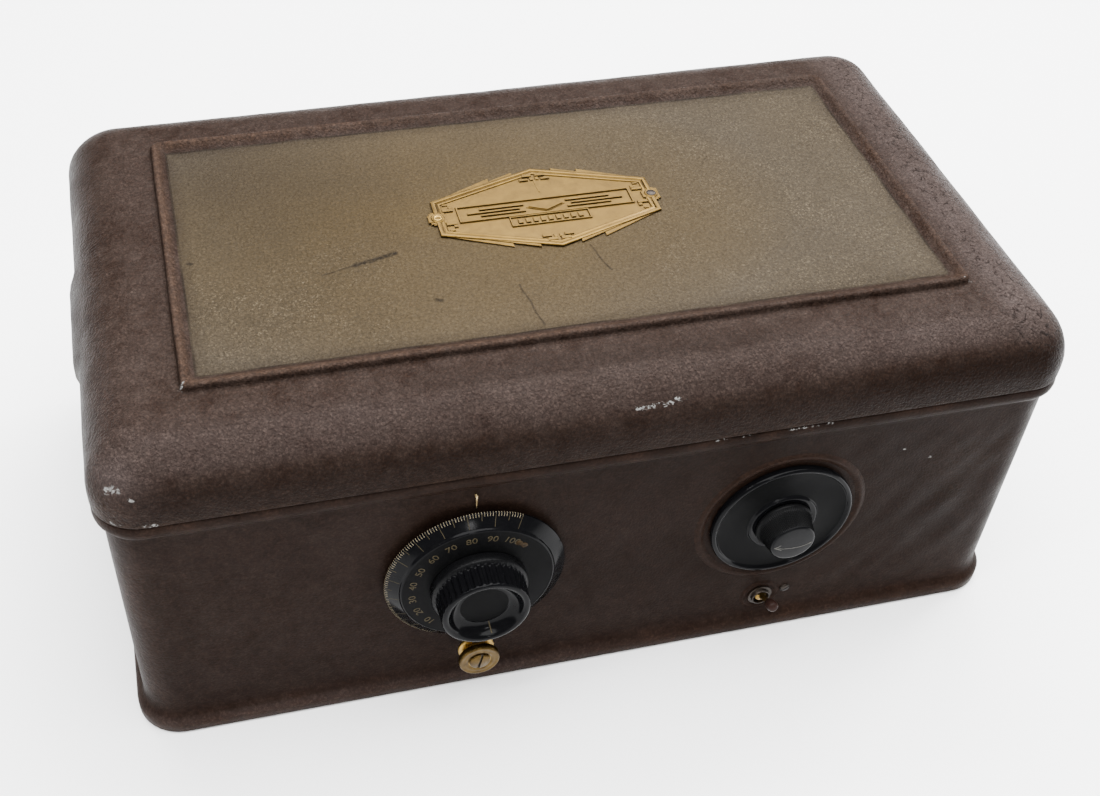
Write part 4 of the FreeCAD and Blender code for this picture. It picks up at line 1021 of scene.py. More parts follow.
def numeral(text, size, extrude, widen):
    """Mesh points and faces of a number, centred, lying in x and y with its face towards +z."""
    curve = bpy.data.curves.new("numeral", "FONT")
    curve.body = text
    curve.size = size
    curve.align_x = "CENTER"
    curve.align_y = "CENTER"
    curve.extrude = extrude
    curve.resolution_u = 6
    holder = bpy.data.objects.new("numeral", curve)
    bpy.context.scene.collection.objects.link(holder)
    bpy.context.view_layer.update()
    mesh = bpy.data.meshes.new_from_object(holder.evaluated_get(bpy.context.evaluated_depsgraph_get()))
    points = [(v.co.x * widen, v.co.y, v.co.z) for v in mesh.vertices]
    faces = [tuple(f.vertices) for f in mesh.polygons]
    bpy.data.objects.remove(holder)
    bpy.data.curves.remove(curve)
    bpy.data.meshes.remove(mesh)
    return points, faces


# ---- tuning dial and knob ----

# Clockwise angle of mark 100 from upright, the step from mark to mark, and the sloping scale
# ring's outer and inner edges as (radius, depth).
LAST_MARK = 29.4
DEGREES_PER_MARK = 1.8
FLANGE = ((42.3, 4.2), (36.0, 7.6))
NUMBER_RADIUS = 30.4
NUMBER_DEPTH = 9.12
NUMBER_SIZE = 4.8


def on_flange(radius):
    (r0, d0), (r1, d1) = FLANGE
    return radius, d0 + (d1 - d0) * (r0 - radius) / (r0 - r1)


def mark_angle(value):
    """Degrees clockwise from upright at which a number of the scale stands."""
    return LAST_MARK - (100 - value) * DEGREES_PER_MARK


def make_dial(gloss, matte, stipple, ink, faded_ink, smear):
    disc = lathe("dial_plate", [
        (3.3, 3.0), (41.7, 3.0), (42.1, 3.1), (42.3, 3.3), (42.3, 4.0), (42.1, 4.35), (36.6, 7.3),
        (36.2, 7.75), (36.0, 8.3), (35.7, 8.7), (35.2, 8.9), (34.6, 8.85), (34.0, 8.95), (24.0, 9.4),
        (22.0, 9.5), (3.3, 9.5), (3.3, 3.0),
    ], DIAL_X, DIAL_Z, gloss, 192)
    paint_faces(disc, matte, lambda r, d: r < 34.9 and d > 8.0, DIAL_X, DIAL_Z)
    crease_sharp(disc, 50)
    place_piece(disc, "tuner", "black_bakelite", "dial_disc")

    bright, faint = ([], []), ([], [])
    for value in range(0, 101):
        angle = mark_angle(value)
        if value % 5 == 0:
            inner = 36.5 if value % 10 == 0 else 39.3
            strip(*faint, [on_flange(42.0), on_flange(inner)], angle, 0.27, 0.05, DIAL_X, DIAL_Z)
        strip(*bright, [on_flange(42.15), on_flange(41.0)], angle, 0.20, 0.04, DIAL_X, DIAL_Z)
        strip(*bright, [(42.3, 3.35), (42.3, 4.1)], angle, 0.26, 0.04, DIAL_X, DIAL_Z)
    place_piece(new_object("dial_marks", *bright, ink, False), "tuner", "brass")
    place_piece(new_object("dial_long_marks", *faint, faded_ink, False), "tuner", "brass")

    points, faces = [], []
    for value in range(10, 101, 10):
        angle = math.radians(mark_angle(value))
        radial = Vector((math.sin(angle), 0, math.cos(angle)))
        across = Vector((math.cos(angle), 0, -math.sin(angle)))
        centre = Vector((DIAL_X, FRONT - NUMBER_DEPTH, DIAL_Z)) + radial * NUMBER_RADIUS
        start = len(points)
        number_points, number_faces = numeral(str(value), NUMBER_SIZE, 0.08, 1.15)
        for px, py, pz in number_points:
            points.append(tuple(centre + across * px + radial * py + Vector((0, -pz, 0))))
        faces += [tuple(start + corner for corner in face) for face in number_faces]
    numbers = new_object("dial_numbers", points, faces, faded_ink, False)
    outward(numbers)
    place_piece(numbers, "tuner", "brass")

    # A streak of rust that runs round the dial past the last number.
    place = math.radians(40)
    along = place + math.radians(90)
    rust = lathe("dial_smear", [(0.0, 9.0), (2.2, 9.0), (2.0, 9.24), (0.0, 9.26)],
                 DIAL_X + 30.3 * math.sin(place), DIAL_Z + 30.3 * math.cos(place), smear, 40,
                 lambda a, i: 1.2 * math.cos(2 * (a - along)) + 0.12 * math.sin(7 * a))
    place_piece(rust, "tuner", "black_bakelite")

    flutes = 40
    section = [
        (0.0, 9.6), (22.1, 9.6), (22.5, 9.9), (22.5, 13.6), (22.3, 14.2), (21.8, 14.6), (21.2, 14.9),
        (20.95, 15.2), (20.95, 15.5), (20.9, 16.0), (20.85, 17.5), (20.8, 19.5), (20.7, 21.5), (20.6, 23.5),
        (20.5, 24.9), (20.45, 25.3), (20.4, 25.7), (20.3, 26.2), (20.0, 26.6), (19.5, 26.9), (18.9, 27.0),
        (18.3, 27.0), (17.7, 26.8), (17.2, 26.4), (16.7, 25.6), (16.2, 24.5), (15.4, 23.4), (14.3, 22.5),
        (13.0, 21.9), (12.1, 21.7), (11.6, 21.75), (11.2, 21.8), (0.0, 21.8),
    ]
    depth_of = [0, 0, 0, 0, 0, 0, 0.1, 0.4, 0.62, 0.7, 0.7, 0.7, 0.7, 0.7, 0.68, 0.5, 0.2]

    def flute(angle, index):
        if index >= len(depth_of) or not depth_of[index]:
            return 0.0
        phase = math.cos(angle * flutes)
        return -1.2 * depth_of[index] * ease(phase, -0.55, 0.75)

    knob = lathe("tuning_knob_skin", section, DIAL_X, DIAL_Z, gloss, flutes * 14, flute)
    paint_faces(knob, matte, lambda r, d: r < 11.3 and d > 20, DIAL_X, DIAL_Z)
    paint_faces(knob, stipple, lambda r, d: r > 20.9 and 9.7 < d < 15.0, DIAL_X, DIAL_Z)
    place_piece(knob, "tuner", "black_bakelite", "tuning_knob")

    points, faces = [], []
    bowl = [(12.2, 21.72), (13.0, 21.9), (14.3, 22.5), (15.4, 23.4), (16.2, 24.5), (16.7, 25.6)]
    strip(points, faces, bowl, 169.5, 0.55, 0.05, DIAL_X, DIAL_Z)
    index = new_object("knob_index", points, faces, faded_ink, False)
    place_piece(index, "tuner", "black_bakelite")


def make_pointer(wire):
    top, tip = DIAL_Z + 51.6, DIAL_Z + 43.1
    points, faces = [], []
    count = 12
    rings = ((top, 0.5), (top - 0.5, 0.62), (top - 2.5, 0.5), (tip + 2, 0.3), (tip + 0.2, 0.24))
    for level, (z, radius) in enumerate(rings):
        for step in range(count):
            angle = TAU * step / count
            y = FRONT - 1.7 + 0.75 * radius * math.sin(angle)
            points.append((DIAL_X + radius * math.cos(angle), y, z))
    for level in range(len(rings) - 1):
        for step in range(count):
            ahead = (step + 1) % count
            a = level * count
            faces.append((a + step, a + ahead, a + count + ahead, a + count + step))
    faces.append(tuple(range(count)))
    faces.append(tuple(range(len(points) - count, len(points))))
    pointer = new_object("pointer_wire", points, faces, wire)
    outward(pointer)
    foot = lathe("pointer_foot", [
        (0.0, -4.0), (0.6, -4.0), (0.6, 1.7), (0.0, 1.9),
    ], DIAL_X, top - 0.6, wire, 16)
    place_piece(join("pointer_wire", [pointer, foot]), "cabinet", "brass", "dial_pointer")


# ---- trimming thumb knob ----

def make_thumb_knob(bright, dull, slot_shade):
    knurl = 72

    def flute(angle, index):
        return -0.22 * (0.5 + 0.5 * math.cos(angle * knurl)) if index in (10, 11, 12, 13) else 0.0

    knob = lathe("thumb_knob_skin", [
        (2.5, 2.0), (5.0, 2.0), (5.0, 7.2), (5.6, 7.8), (8.0, 8.2), (8.6, 8.6), (8.8, 9.1), (8.8, 10.1),
        (8.4, 10.6), (5.9, 11.4), (9.7, 14.6), (9.9, 15.0), (9.9, 17.1), (9.75, 17.5), (9.4, 17.95),
        (8.9, 18.0), (8.4, 17.85), (7.2, 17.75), (6.6, 17.9), (6.1, 17.7), (5.4, 17.4), (2.5, 17.4),
        (2.5, 2.0),
    ], DIAL_X, THUMB_Z, bright, knurl * 6, flute)
    paint_faces(knob, dull, lambda r, d: d > 14.3 and r > 5.2, DIAL_X, THUMB_Z)
    crease_sharp(knob, 55)
    place_piece(knob, "trimmer", "knurled_brass", "thumb_knob")
    head = lathe("thumb_screw_head", [
        (0.0, 17.4), (4.9, 17.4), (5.0, 17.9), (4.8, 18.3), (4.3, 18.6), (0.0, 18.75),
    ], DIAL_X, THUMB_Z, dull, 64)
    cut_slot(head, 1.15, 17.75, 13, DIAL_X, THUMB_Z)
    # The slot takes the blackened steel as painted shade.
    paint_faces(head, slot_shade, lambda r, d: r < 4.6 and 17.5 < d < 18.25, DIAL_X, THUMB_Z)
    crease_sharp(head, 45)
    place_piece(head, "trimmer", "knurled_brass", "thumb_knob_screw")


def cut_slot(thing, width, floor_depth, tilt, x, z):
    """Cuts a screwdriver slot, tilted clockwise from upright, into a head on the front."""
    bpy.ops.mesh.primitive_cube_add(size=1)
    cutter = bpy.context.object
    cutter.scale = Vector((width, 3.0, 30)) * MM
    cutter.location = Vector((x, FRONT - floor_depth - 1.5, z)) * MM
    cutter.rotation_euler = (0, math.radians(tilt), 0)
    bpy.context.view_layer.update()
    cut = thing.modifiers.new("slot", "BOOLEAN")
    cut.operation = "DIFFERENCE"
    cut.object = cutter
    bpy.context.view_layer.objects.active = thing
    bpy.ops.object.modifier_apply(modifier=cut.name)
    bpy.data.objects.remove(cutter)


# ---- volume control front ----

def make_volume(gloss, matte, satin, arrow_ink):
    plaque = lathe("volume_plate", [
        (8.4, 0.0), (35.3, 0.0), (35.6, 0.5), (35.7, 1.6), (35.6, 2.6), (35.2, 3.3), (34.6, 3.75),
        (33.9, 3.8), (33.3, 3.5), (32.9, 2.9), (32.5, 2.4), (31.9, 2.2), (18.3, 2.5), (17.7, 2.7),
        (17.3, 3.2), (17.0, 3.8), (16.5, 4.1), (15.9, 4.05), (15.3, 3.9), (8.4, 3.9), (8.4, 0.0),
    ], VOLUME_X, DIAL_Z, gloss, 192)
    paint_faces(plaque, matte, lambda r, d: 17.9 < r < 32.2 and d > 1.5, VOLUME_X, DIAL_Z)
    crease_sharp(plaque, 60)
    place_piece(plaque, "cabinet", "black_bakelite", "volume_escutcheon")
    grooves = 84

    def flute(angle, index):
        return -0.30 * (0.5 + 0.5 * math.cos(angle * grooves)) if 5 <= index <= 10 else 0.0

    knob = lathe("volume_knob_skin", [
        (0.0, 4.4), (13.9, 4.4), (14.2, 4.8), (14.2, 5.7), (13.9, 6.2), (13.3, 6.9), (12.9, 8.2),
        (12.3, 10.8), (11.8, 13.2), (11.4, 15.2), (11.2, 16.0), (10.95, 16.6), (10.4, 17.05), (9.6, 17.2),
        (5.0, 17.3), (0.0, 17.35),
    ], VOLUME_X, DIAL_Z, satin, grooves * 6, flute)
    paint_faces(knob, gloss, lambda r, d: d > 16.3, VOLUME_X, DIAL_Z)
    place_piece(knob, "volume", "black_bakelite", "volume_knob")
    bow = [(-9.6, -1.1), (-7.4, -1.75), (-5.1, -2.3), (-2.8, -2.75), (-0.4, -3.0), (2.2, -3.0), (4.6, -2.7),
           (7.0, -1.9), (9.2, -0.8)]
    upper_barb = [(-9.6, -1.1), (-7.9, -0.6), (-6.3, 0.3)]
    lower_barb = [(-9.6, -1.1), (-7.6, -2.1), (-5.6, -3.4)]
    points, faces = [], []
    for path, width in ((bow, 0.26), (upper_barb, 0.24), (lower_barb, 0.24)):
        ribbon(points, faces, path, width, 17.0, 17.4)
    arrow = new_object("volume_arrow", points, faces, arrow_ink, False)
    outward(arrow)
    place_piece(arrow, "volume", "black_bakelite")


def ribbon(points, faces, path, width, low, high):
    """Adds a thin flat bar along a path of (x, z) from the volume axis, between two depths."""
    start = len(points)
    for index, here in enumerate(path):
        before = Vector(path[max(0, index - 1)])
        after = Vector(path[min(len(path) - 1, index + 1)])
        run = (after - before).normalized()
        side = Vector((-run.y, run.x)) * width / 2
        for direction, depth in ((-1, low), (1, low), (1, high), (-1, high)):
            point = Vector(here) + side * direction
            points.append((VOLUME_X + point.x, FRONT - depth, DIAL_Z + point.y))
    bar_faces(faces, start, len(path))


# ---- mains switch ----

def make_switch(brass, blackened, tip):
    collar = lathe("switch_collar", [
        (4.1, -6.0), (4.8, -6.0), (4.8, 0.0), (6.2, 0.0), (6.4, 0.3), (6.3, 0.8), (5.9, 0.95), (4.9, 0.95),
        (4.8, 1.2), (4.8, 2.4), (4.6, 2.6), (4.2, 2.6), (4.1, 2.4), (4.1, -6.0),
    ], TOGGLE.x, TOGGLE.z, blackened, 72)
    crease_sharp(collar, 50)
    place_piece(collar, "cabinet", "toggle_brass", "switch_bushing")
    lever = lathe("switch_lever_skin", [
        (0.0, -6.4), (1.6, -6.0), (1.6, -4.2), (2.6, -3.4), (3.5, -2.0), (3.75, -0.6), (3.6, 0.9),
        (3.0, 2.1), (2.2, 2.9), (1.6, 3.6), (1.3, 4.6), (1.25, 6.2), (1.3, 8.6), (1.35, 10.6), (1.7, 11.1),
        (2.2, 11.9), (2.6, 13.2), (2.9, 15.0), (2.95, 16.2), (2.7, 17.4), (2.1, 18.3), (1.2, 18.75),
        (0.0, 18.85),
    ], TOGGLE.x, TOGGLE.z, brass, 56)
    paint_faces(lever, tip, lambda r, d: d > 10.7, TOGGLE.x, TOGGLE.z)
    pivot = Vector((TOGGLE.x, FRONT + 1.0, TOGGLE.z)) * MM
    turn = Matrix.Translation(pivot) @ Matrix.Rotation(math.radians(-28), 4, "X") @ Matrix.Translation(-pivot)
    lever.data.transform(turn)
    place_piece(lever, "toggle", "toggle_brass", "toggle_lever")
    screw = lathe("switch_screw_head", [
        (0.0, -5.0), (1.5, -5.0), (1.5, 0.0), (2.6, 0.0), (2.55, 0.4), (2.2, 0.85), (1.4, 1.15), (0.0, 1.25),
    ], PLATE_SCREW_X, PLATE_SCREW_Z, blackened, 40)
    cut_slot(screw, 0.6, 0.75, 55, PLATE_SCREW_X, PLATE_SCREW_Z)
    crease_sharp(screw, 45)
    place_piece(screw, "cabinet", "dark_steel", "switch_plate_screw")


# ---- badge ----

def hexagon(inset):
    """Long six-sided outline of the plaque about its own middle, moved in by an inset."""
    half_x, shoulder, apex = 54.2, 13.4, 31.4
    edge = Vector((-half_x, apex - shoulder)).normalized()
    normal = Vector((edge.y, -edge.x))
    reach = normal.dot(Vector((0, apex))) - inset
    side_x = half_x - inset
    side_y = (reach - normal.x * side_x) / normal.y
    upper = [(side_x, side_y), (0, reach / normal.y), (-side_x, side_y)]
    return upper + [(-x, -y) for x, y in upper]


def badge_skin(name, sections, material):
    """Closed frame on the plaque from loops of (corners, height), the last joined to the first."""
    rings = []
    for corners, height in sections:
        rings.append([(BADGE_X + x, BADGE_Y + y, BADGE_Z + height) for x, y in corners])
    rings.append(rings[0])
    made = ring_skin(name, rings, material)
    outward(made)
    return made


def hex_frame(section, material):
    """Frame round the plaque: section is (inset, height above the panel)."""
    return badge_skin("border", [(hexagon(inset), height) for inset, height in section], material)


def box_frame(half_x, half_y, width, centre_y, low, high, material):
    """Raised rectangular frame with sloped sides."""
    section = ((0.0, low), (0.3, high), (width - 0.3, high), (width, low))
    loops = []
    for inset, height in section:
        hx, low_y, high_y = half_x - inset, centre_y - half_y + inset, centre_y + half_y - inset
        loops.append(([(hx, high_y), (-hx, high_y), (-hx, low_y), (hx, low_y)], height))
    return badge_skin("box_frame", loops, material)


def badge_prism(corners, low, high, material, bevel=0.18, steps=2):
    placed = [(BADGE_X + x, BADGE_Y + y) for x, y in corners]
    return prism("block", placed, BADGE_Z + low, BADGE_Z + high, material, bevel, steps)


def block(x0, x1, y0, y1, low, high, material):
    return badge_prism([(x0, y0), (x1, y0), (x1, y1), (x0, y1)], low, high, material)


QUARTERS = ((1, 1), (-1, 1), (-1, -1), (1, -1))


def mirrored(x0, x1, y0, y1, low, high, material):
    """The same block in each quarter of the plaque."""
    made = []
    for fx, fy in QUARTERS:
        xs, ys = sorted((fx * x0, fx * x1)), sorted((fy * y0, fy * y1))
        made.append(block(*xs, *ys, low, high, material))
    return made


def make_badge(brass, dark_screw, pin_brass):
    quarter = [(56.8, 4.1), (54.2, 4.1), (54.2, 13.4), (22.3, 23.9), (9.9, 28.0), (0, 31.4)]
    upper = quarter + [(-x, y) for x, y in reversed(quarter[:-1])]
    whole = upper + [(-x, -y) for x, y in upper]
    parts = [badge_prism(whole, 0, 0.55, brass, 0.14)]
    fins = (
        ([(54.0, 13.0), (22.3, 27.5), (22.3, 22.5)], 0.72), ([(50.0, 13.6), (9.9, 29.9), (9.9, 26.5)], 0.98),
    )
    for fx, fy in QUARTERS:
        for corners, height in fins:
            parts.append(badge_prism([(x * fx, y * fy) for x, y in corners], 0.05, height, brass, 0.16))
    parts.append(hex_frame([
        (0.1, 0.2), (0.1, 1.0), (0.35, 1.3), (0.8, 1.4), (1.6, 1.4), (2.0, 1.3), (2.25, 1.0), (2.5, 0.8),
        (2.8, 0.95), (3.1, 1.15), (3.7, 1.18), (4.1, 1.05), (4.35, 0.75), (4.4, 0.2),
    ], brass))
    parts += mirrored(44.6, 49.8, 4.3, 6.2, 0.3, 1.2, brass)
    parts += mirrored(44.6, 46.4, 6.2, 8.2, 0.3, 1.1, brass)
    parts += mirrored(46.4, 49.0, 9.2, 10.6, 0.3, 1.0, brass)
    parts += mirrored(0.9, 5.6, 24.4, 26.6, 0.3, 1.35, brass)
    parts += mirrored(3.2, 7.6, 21.6, 23.4, 0.3, 1.15, brass)
    parts += mirrored(0.5, 2.2, 21.8, 24.2, 0.3, 1.05, brass)
    parts.append(badge_prism([(0.5, 12.0), (0.9, 22.0), (-0.9, 22.0), (-0.5, 12.0)], 0.3, 0.68, brass, 0.1))
    parts.append(box_frame(43.4, 6.3, 1.3, 0.8, 0.4, 1.25, brass))
    parts.append(box_frame(19.8, 3.9, 1.1, -9.2, 0.4, 1.2, brass))
    parts.append(badge_prism([(9.5, 0.8), (0, 5.2), (-9.5, 0.8), (0, -3.6)], 0.4, 1.35, brass, 0.55, 3))
    for row in (-2.4, 0, 2.4):
        reach = 38.5 - abs(row) * 2.6
        for side in (1, -1):
            xs = sorted((side * (12.8 - abs(row)), side * reach))
            parts.append(block(*xs, 0.8 + row - 0.65, 0.8 + row + 0.65, 0.4, 1.2, brass))
    for step in range(-4, 5):
        parts.append(block(step * 3.7 - 1.1, step * 3.7 + 1.1, -10.9, -7.5, 0.4, 1.15, brass))
    for side in (1, -1):
        x = side * 53.0
        parts.append(block(x - 3.6, x + 3.9, -4.1, 4.1, 0.05, 1.0, brass))
        parts.append(block(x - 4.6, x + 2.6, -2.7, 2.7, 0.05, 1.2, brass))
        parts.append(block(x - 2.6, x + 2.6, -5.0, 5.0, 0.05, 0.9, brass))
        parts.append(lathe_z("eyelet", [
            (1.5, 0.6), (3.3, 0.6), (3.3, 1.25), (2.9, 1.55), (2.2, 1.5), (1.8, 1.1), (1.5, 0.6),
        ], x, brass))
    for part in parts:
        part.data.polygons.foreach_set("use_smooth", [True] * len(part.data.polygons))
    badge = join("badge_plaque", parts)
    crease_sharp(badge, 32)
    place_piece(badge, "lid", "badge_brass", "badge")
    screw = lathe_z("badge_screw_right", [
        (0.0, -2.6), (1.4, -2.6), (1.4, 0.9), (2.6, 1.0), (2.5, 1.45), (1.9, 1.85), (0.0, 2.0),
    ], 53.0, dark_screw)
    pin = lathe_z("badge_pin_left", [
        (0.0, -2.6), (1.4, -2.6), (1.4, 0.9), (2.1, 1.0), (2.1, 1.45), (1.7, 1.65), (1.2, 1.5),
        (0.9, 1.1), (0.0, 1.05),
    ], -53.0, pin_brass)
    place_piece(screw, "lid", "dark_steel", "badge_screws")
    place_piece(pin, "lid", "badge_brass")


def lathe_z(name, profile, x, material):
    """Turned piece on the badge: x is from its middle, profile is (radius, height above the panel)."""
    made = lathe(name, [(radius, -height) for radius, height in profile], 0, 0, material, 40)
    for vertex in made.data.vertices:
        across, depth, up = vertex.co / MM
        vertex.co = Vector((BADGE_X + x + across, BADGE_Y + up, BADGE_Z + depth - FRONT)) * MM
    outward(made)
    return made


# ---- valves and coils inside ----

# Valves: place, bulb radius and bulb height. Six stand in a row at the back, 52 mm apart, and the
# larger rectifier stands by the transformer.
VALVES = [(-182.0 + 52.0 * place, 76.0, 23.0, 88.0) for place in range(6)] + [(165.0, 2.0, 25.0, 96.0)]
BULB_FOOT = DECK_TOP + 11
GLASS = 0.9
COIL_RADIUS = 17.02
COIL_START = DECK_TOP + 12
COIL_LENGTH = 38.0
COIL_SPACING = 93.3
COIL_Y = 2.0
COIL_TURNS = 54


def turned_up(name, profile, x, y, material, segments=48):
    """Turned piece about an upright axis: profile is (radius, height above the floor)."""
    rings = []
    for radius, height in profile:
        reach = max(radius, 1e-4)
        ring = []
        for step in range(segments):
            angle = TAU * step / segments
            ring.append((x + reach * math.cos(angle), y + reach * math.sin(angle), height))
        rings.append(ring)
    made = ring_skin(name, rings, material)
    mesh = bmesh.new()
    mesh.from_mesh(made.data)
    bmesh.ops.remove_doubles(mesh, verts=mesh.verts, dist=1e-6)
    bmesh.ops.recalc_face_normals(mesh, faces=mesh.faces)
    mesh.to_mesh(made.data)
    mesh.free()
    return made


def bulb_profile(base, radius, height, inset):
    """Half outline of a globe envelope, drawn in from the outside by an inset."""
    middle = base + height * 0.52
    tall = radius * 1.12
    points = [(14.4 - inset, base + inset), (14.4 - inset, base + 14)]
    for step in range(17):
        angle = math.radians(-50 + 8.2 * step)
        points.append(((radius - inset) * math.cos(angle), middle + (tall - inset) * math.sin(angle)))
    top = middle + tall
    points += [(3.4 - inset, top - inset * 0.5), (1.9 - inset * 0.6, top + 1.4 - inset)]
    points.append((0.0, top + 2.8 - inset * 1.6))
    return points


def valve_electrodes(x, y, foot, middle, mica, nickel):
    """Glass press, four support rods and the flat anode inside a bulb."""
    press = [(0.0, foot - 6), (5.0, foot - 6), (4.2, foot + 4), (0.0, foot + 4)]
    rod = [(0.0, foot), (0.45, foot), (0.45, middle + 15), (0.0, middle + 15)]
    made = [turned_up("press", press, x, y, mica, 20)]
    for px, py in ((-6.5, 0), (6.5, 0), (0, -3.0), (0, 3.0)):
        made.append(turned_up("rod", rod, x + px, y + py, nickel, 8))
    low, high = middle - 12, middle + 12
    rings = []
    for half_x, half_y, z in ((8.2, 4.6, low), (8.2, 4.6, high), (7.8, 4.2, high), (7.8, 4.2, low)):
        rings.append([(x + px, y + py, z) for px, py in rounded_loop(half_x, half_y, 3.6, 4, 2, 5)])
    rings.append(rings[0])
    anode = ring_skin("anode", rings, nickel)
    outward(anode)
    made.append(anode)
    return made


def getter_profile(radius, height):
    """Closed outline of the silvered patch under the top of a bulb."""
    rim = BULB_FOOT + height * 0.52 + radius * 0.62
    outside = [(max(r - 0.35, 0.0), h) for r, h in bulb_profile(BULB_FOOT, radius, height, 0.95) if h > rim]
    inside = [(max(r - 0.25, 0), h - 0.25) for r, h in reversed(outside[:-1])]
    return outside + [(0.0, outside[-1][1] - 0.25)] + inside + [outside[0]]


def make_valves(glass, getter, nickel, mica):
    outer_parts, metal_parts, mica_parts, getter_parts = [], [], [], []
    for x, y, radius, height in VALVES:
        outside = bulb_profile(BULB_FOOT, radius, height, 0.0)
        inside = bulb_profile(BULB_FOOT, radius, height, GLASS)
        outer_parts.append(turned_up("bulb", [(0.0, BULB_FOOT)] + outside, x, y, glass))
        outer_parts.append(flipped(turned_up("bulb", [(0.0, BULB_FOOT + GLASS)] + inside, x, y, glass)))
        middle = BULB_FOOT + height * 0.52
        metal_parts += valve_electrodes(x, y, BULB_FOOT + 20, middle, mica, nickel)
        for z in (middle - 13.4, middle + 12.6):
            disc = [(0.0, z), (10.0, z), (10.0, z + 0.6), (0.0, z + 0.6)]
            mica_parts.append(turned_up("mica", disc, x, y, mica, 28))
        getter_parts.append(turned_up("getter", getter_profile(radius, height), x, y, getter))
    bulbs = join("valve_envelopes", outer_parts)
    place_piece(bulbs, "cabinet", "valve_glass", "valve_bulbs")
    place_piece(join("valve_electrodes", metal_parts), "cabinet", "plated_steel")
    place_piece(join("valve_micas", mica_parts), "cabinet", "valve_glass")
    place_piece(join("valve_getters", getter_parts), "cabinet", "valve_glass")


def flipped(thing):
    thing.data.flip_normals()
    return thing


def make_coils(wire):
    """Close turns of enamelled wire on the three coil formers."""
    rings = []
    pitch = COIL_LENGTH / COIL_TURNS
    for x in (DIAL_X - COIL_SPACING, DIAL_X, DIAL_X + COIL_SPACING):
        profile = [(COIL_RADIUS, COIL_START)]
        for turn in range(COIL_TURNS):
            z = COIL_START + pitch * turn
            for share, out in ((0.12, 0.45), (0.5, 0.88), (0.88, 0.45)):
                profile.append((COIL_RADIUS + out, z + share * pitch))
        profile += [(COIL_RADIUS, COIL_START + COIL_LENGTH), (COIL_RADIUS, COIL_START)]
        rings.append(turned_up("winding", profile, x, COIL_Y, wire, 64))
    place_piece(join("coil_wire", rings), "cabinet", "copper_wire", "coil_windings")


# ---- finishes of the CAD nodes that show as they are ----

def finish_nodes(finishes):
    for material, nodes in finishes:
        for name in nodes:
            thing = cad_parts[name]
            thing.data.materials.clear()
            thing.data.materials.append(material)


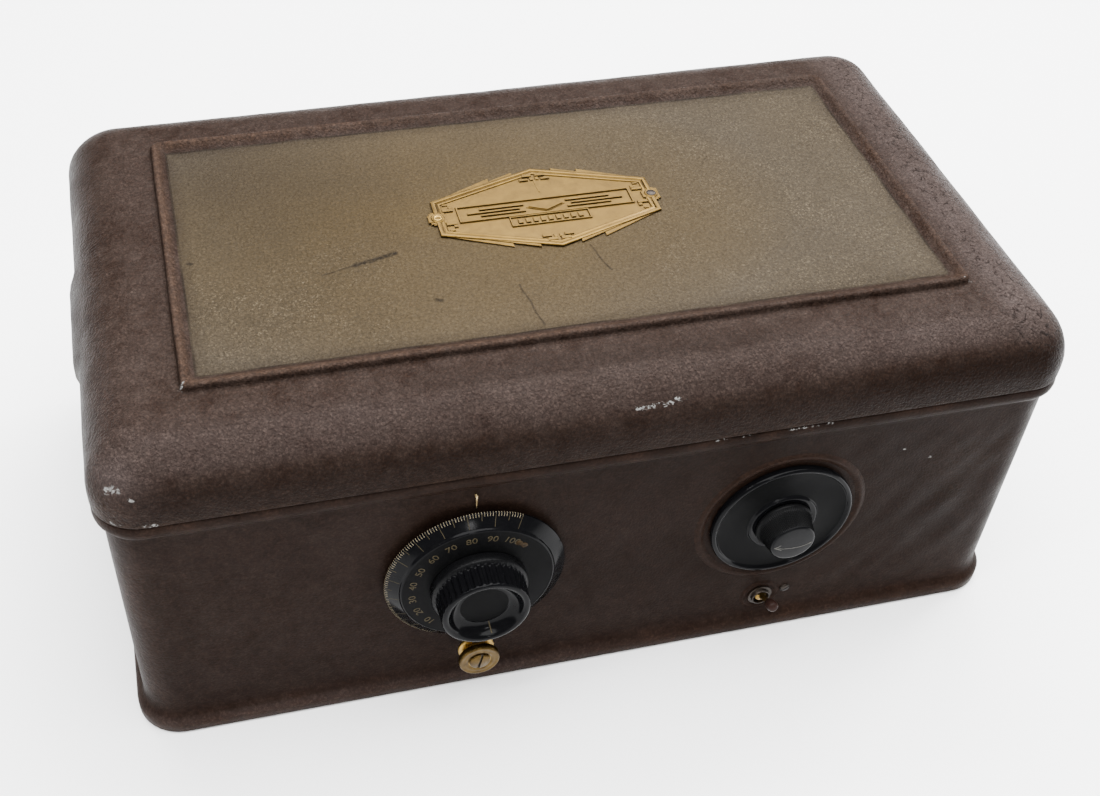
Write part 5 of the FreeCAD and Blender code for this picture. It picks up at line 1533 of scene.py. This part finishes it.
def build():
    case_paint = paint_material("case_enamel", (0.0108, 0.0056, 0.0038), (0.0160, 0.0094, 0.0071),
                                (0.0255, 0.0168, 0.0130), (0.040, 0.0215, 0.0145), 0.42, 0.30, 26, CASE_GLINTS_AND_CHIPS)
    lid_paint = paint_material("lid_enamel", (0.0125, 0.0064, 0.0042), (0.0200, 0.0127, 0.0098),
                               (0.0370, 0.0262, 0.0215), (0.050, 0.0295, 0.0195), 0.42, 0.9, 44, CHIPS_AND_GLINTS)
    panel = panel_material()
    gloss = bakelite_material()
    matte = bakelite_material("matte_bakelite", (0.0021, 0.0021, 0.0022), 0.40, 0.014)
    stipple = bakelite_material("stippled_bakelite", (0.0022, 0.0022, 0.0024), 0.30, 0.05)
    stipple_relief(stipple)
    satin = bakelite_material("satin_bakelite", (0.0030, 0.0030, 0.0031), 0.28, 0.03)
    brown_bakelite = bakelite_material("brown_bakelite", (0.014, 0.0055, 0.0032), 0.24)
    badge_brass = badge_material()
    brass = brass_material("turned_brass", (0.26, 0.165, 0.042), (0.12, 0.072, 0.018), 0.28)
    old_brass = brass_material("aged_brass", (0.070, 0.044, 0.013), (0.030, 0.018, 0.006), 0.38)
    bronze = brass_material("spring_bronze", (0.24, 0.15, 0.075), (0.13, 0.080, 0.040), 0.30)
    wire_brass = brass_material("pointer_brass", (0.27, 0.20, 0.10), (0.14, 0.095, 0.045), 0.30)
    nickel = metal_material("nickel_plate", (0.24, 0.235, 0.22), (0.13, 0.125, 0.115), 0.28)
    dark_steel = metal_material("blackened_steel", (0.018, 0.012, 0.008), (0.008, 0.006, 0.0045), 0.38, 0.8)
    zinc = metal_material("dull_zinc", (0.16, 0.16, 0.15), (0.09, 0.087, 0.080), 0.46)
    vanes = metal_material("rolled_aluminium", (0.29, 0.29, 0.285), (0.18, 0.18, 0.175), 0.32,
                           grain=(1, 1, 0.1))
    deck_paint = metal_material("chassis_grey", (0.050, 0.052, 0.050), (0.030, 0.030, 0.029), 0.48, 0.35)
    lacquer = lacquer_material("black_lacquer", (0.0035, 0.0035, 0.0035))
    copper = metal_material("enamelled_copper", (0.17, 0.052, 0.020), (0.075, 0.022, 0.010), 0.30, 0.75)
    phenolic = board_material()
    paper = paper_material()
    rubber = rubber_material()
    braid = cloth_material()
    glass = glass_material()
    getter = metal_material("getter_silver", (0.24, 0.24, 0.245), (0.08, 0.072, 0.068), 0.16)
    mica = metal_material("mica", (0.20, 0.185, 0.14), (0.13, 0.115, 0.085), 0.3, 0.0)
    ink = ink_material("mark_filling", (0.21, 0.175, 0.115))
    faded_ink = ink_material("faded_filling", (0.038, 0.030, 0.016))
    white_ink = ink_material("white_filling", (0.085, 0.082, 0.074), 0.5)
    smear = ink_material("orange_smear", (0.026, 0.016, 0.007), 0.7)
    tip = bakelite_material("brown_tip", (0.014, 0.0070, 0.0055), 0.30)

    make_stage()
    make_camera()
    make_lid(lid_paint, panel)
    make_case(case_paint)
    make_badge(badge_brass, dark_steel, brass)
    make_dial(gloss, matte, stipple, ink, faded_ink, smear)
    make_pointer(wire_brass)
    make_thumb_knob(brass, old_brass, dark_steel)
    make_volume(gloss, matte, satin, white_ink)
    make_switch(brass, dark_steel, tip)
    make_valves(glass, getter, nickel, mica)
    make_coils(copper)
    finish_nodes((
        (zinc, ("bottom_plate", "condenser_frames", "volume_control_body", "bypass_condensers")),
        (nickel, ("volume_shaft", "middle_shaft", "left_shaft", "right_shaft", "bottom_screws",
                  "chassis_screws", "knob_set_screw")),
        (brass, ("shaft_bushings", "bushing_nuts", "trimmer_shaft", "trimmer_vane", "volume_wiper",
                 "left_pulley", "middle_pulley", "right_pulley", "terminal_posts")),
        (old_brass, ("terminal_nut_1", "terminal_nut_2", "terminal_nut_3")),
        (lacquer, ("filter_block", "audio_transformers", "transformer_core")),
        (phenolic, ("resistance_element", "stator_insulators", "coil_formers", "terminal_strip",
                    "switch_body", "valve_sockets", "trimmer_frame")),
        (vanes, ("condenser_stators", "left_rotor", "middle_rotor", "right_rotor")),
        (bronze, ("tape_belts",)),
        (deck_paint, ("chassis_deck",)),
        (brown_bakelite, ("valve_bases",)),
        (paper, ("transformer_winding",)),
        (rubber, ("cord_gland",)),
        (braid, ("internal_leads",)),
    ))


build()
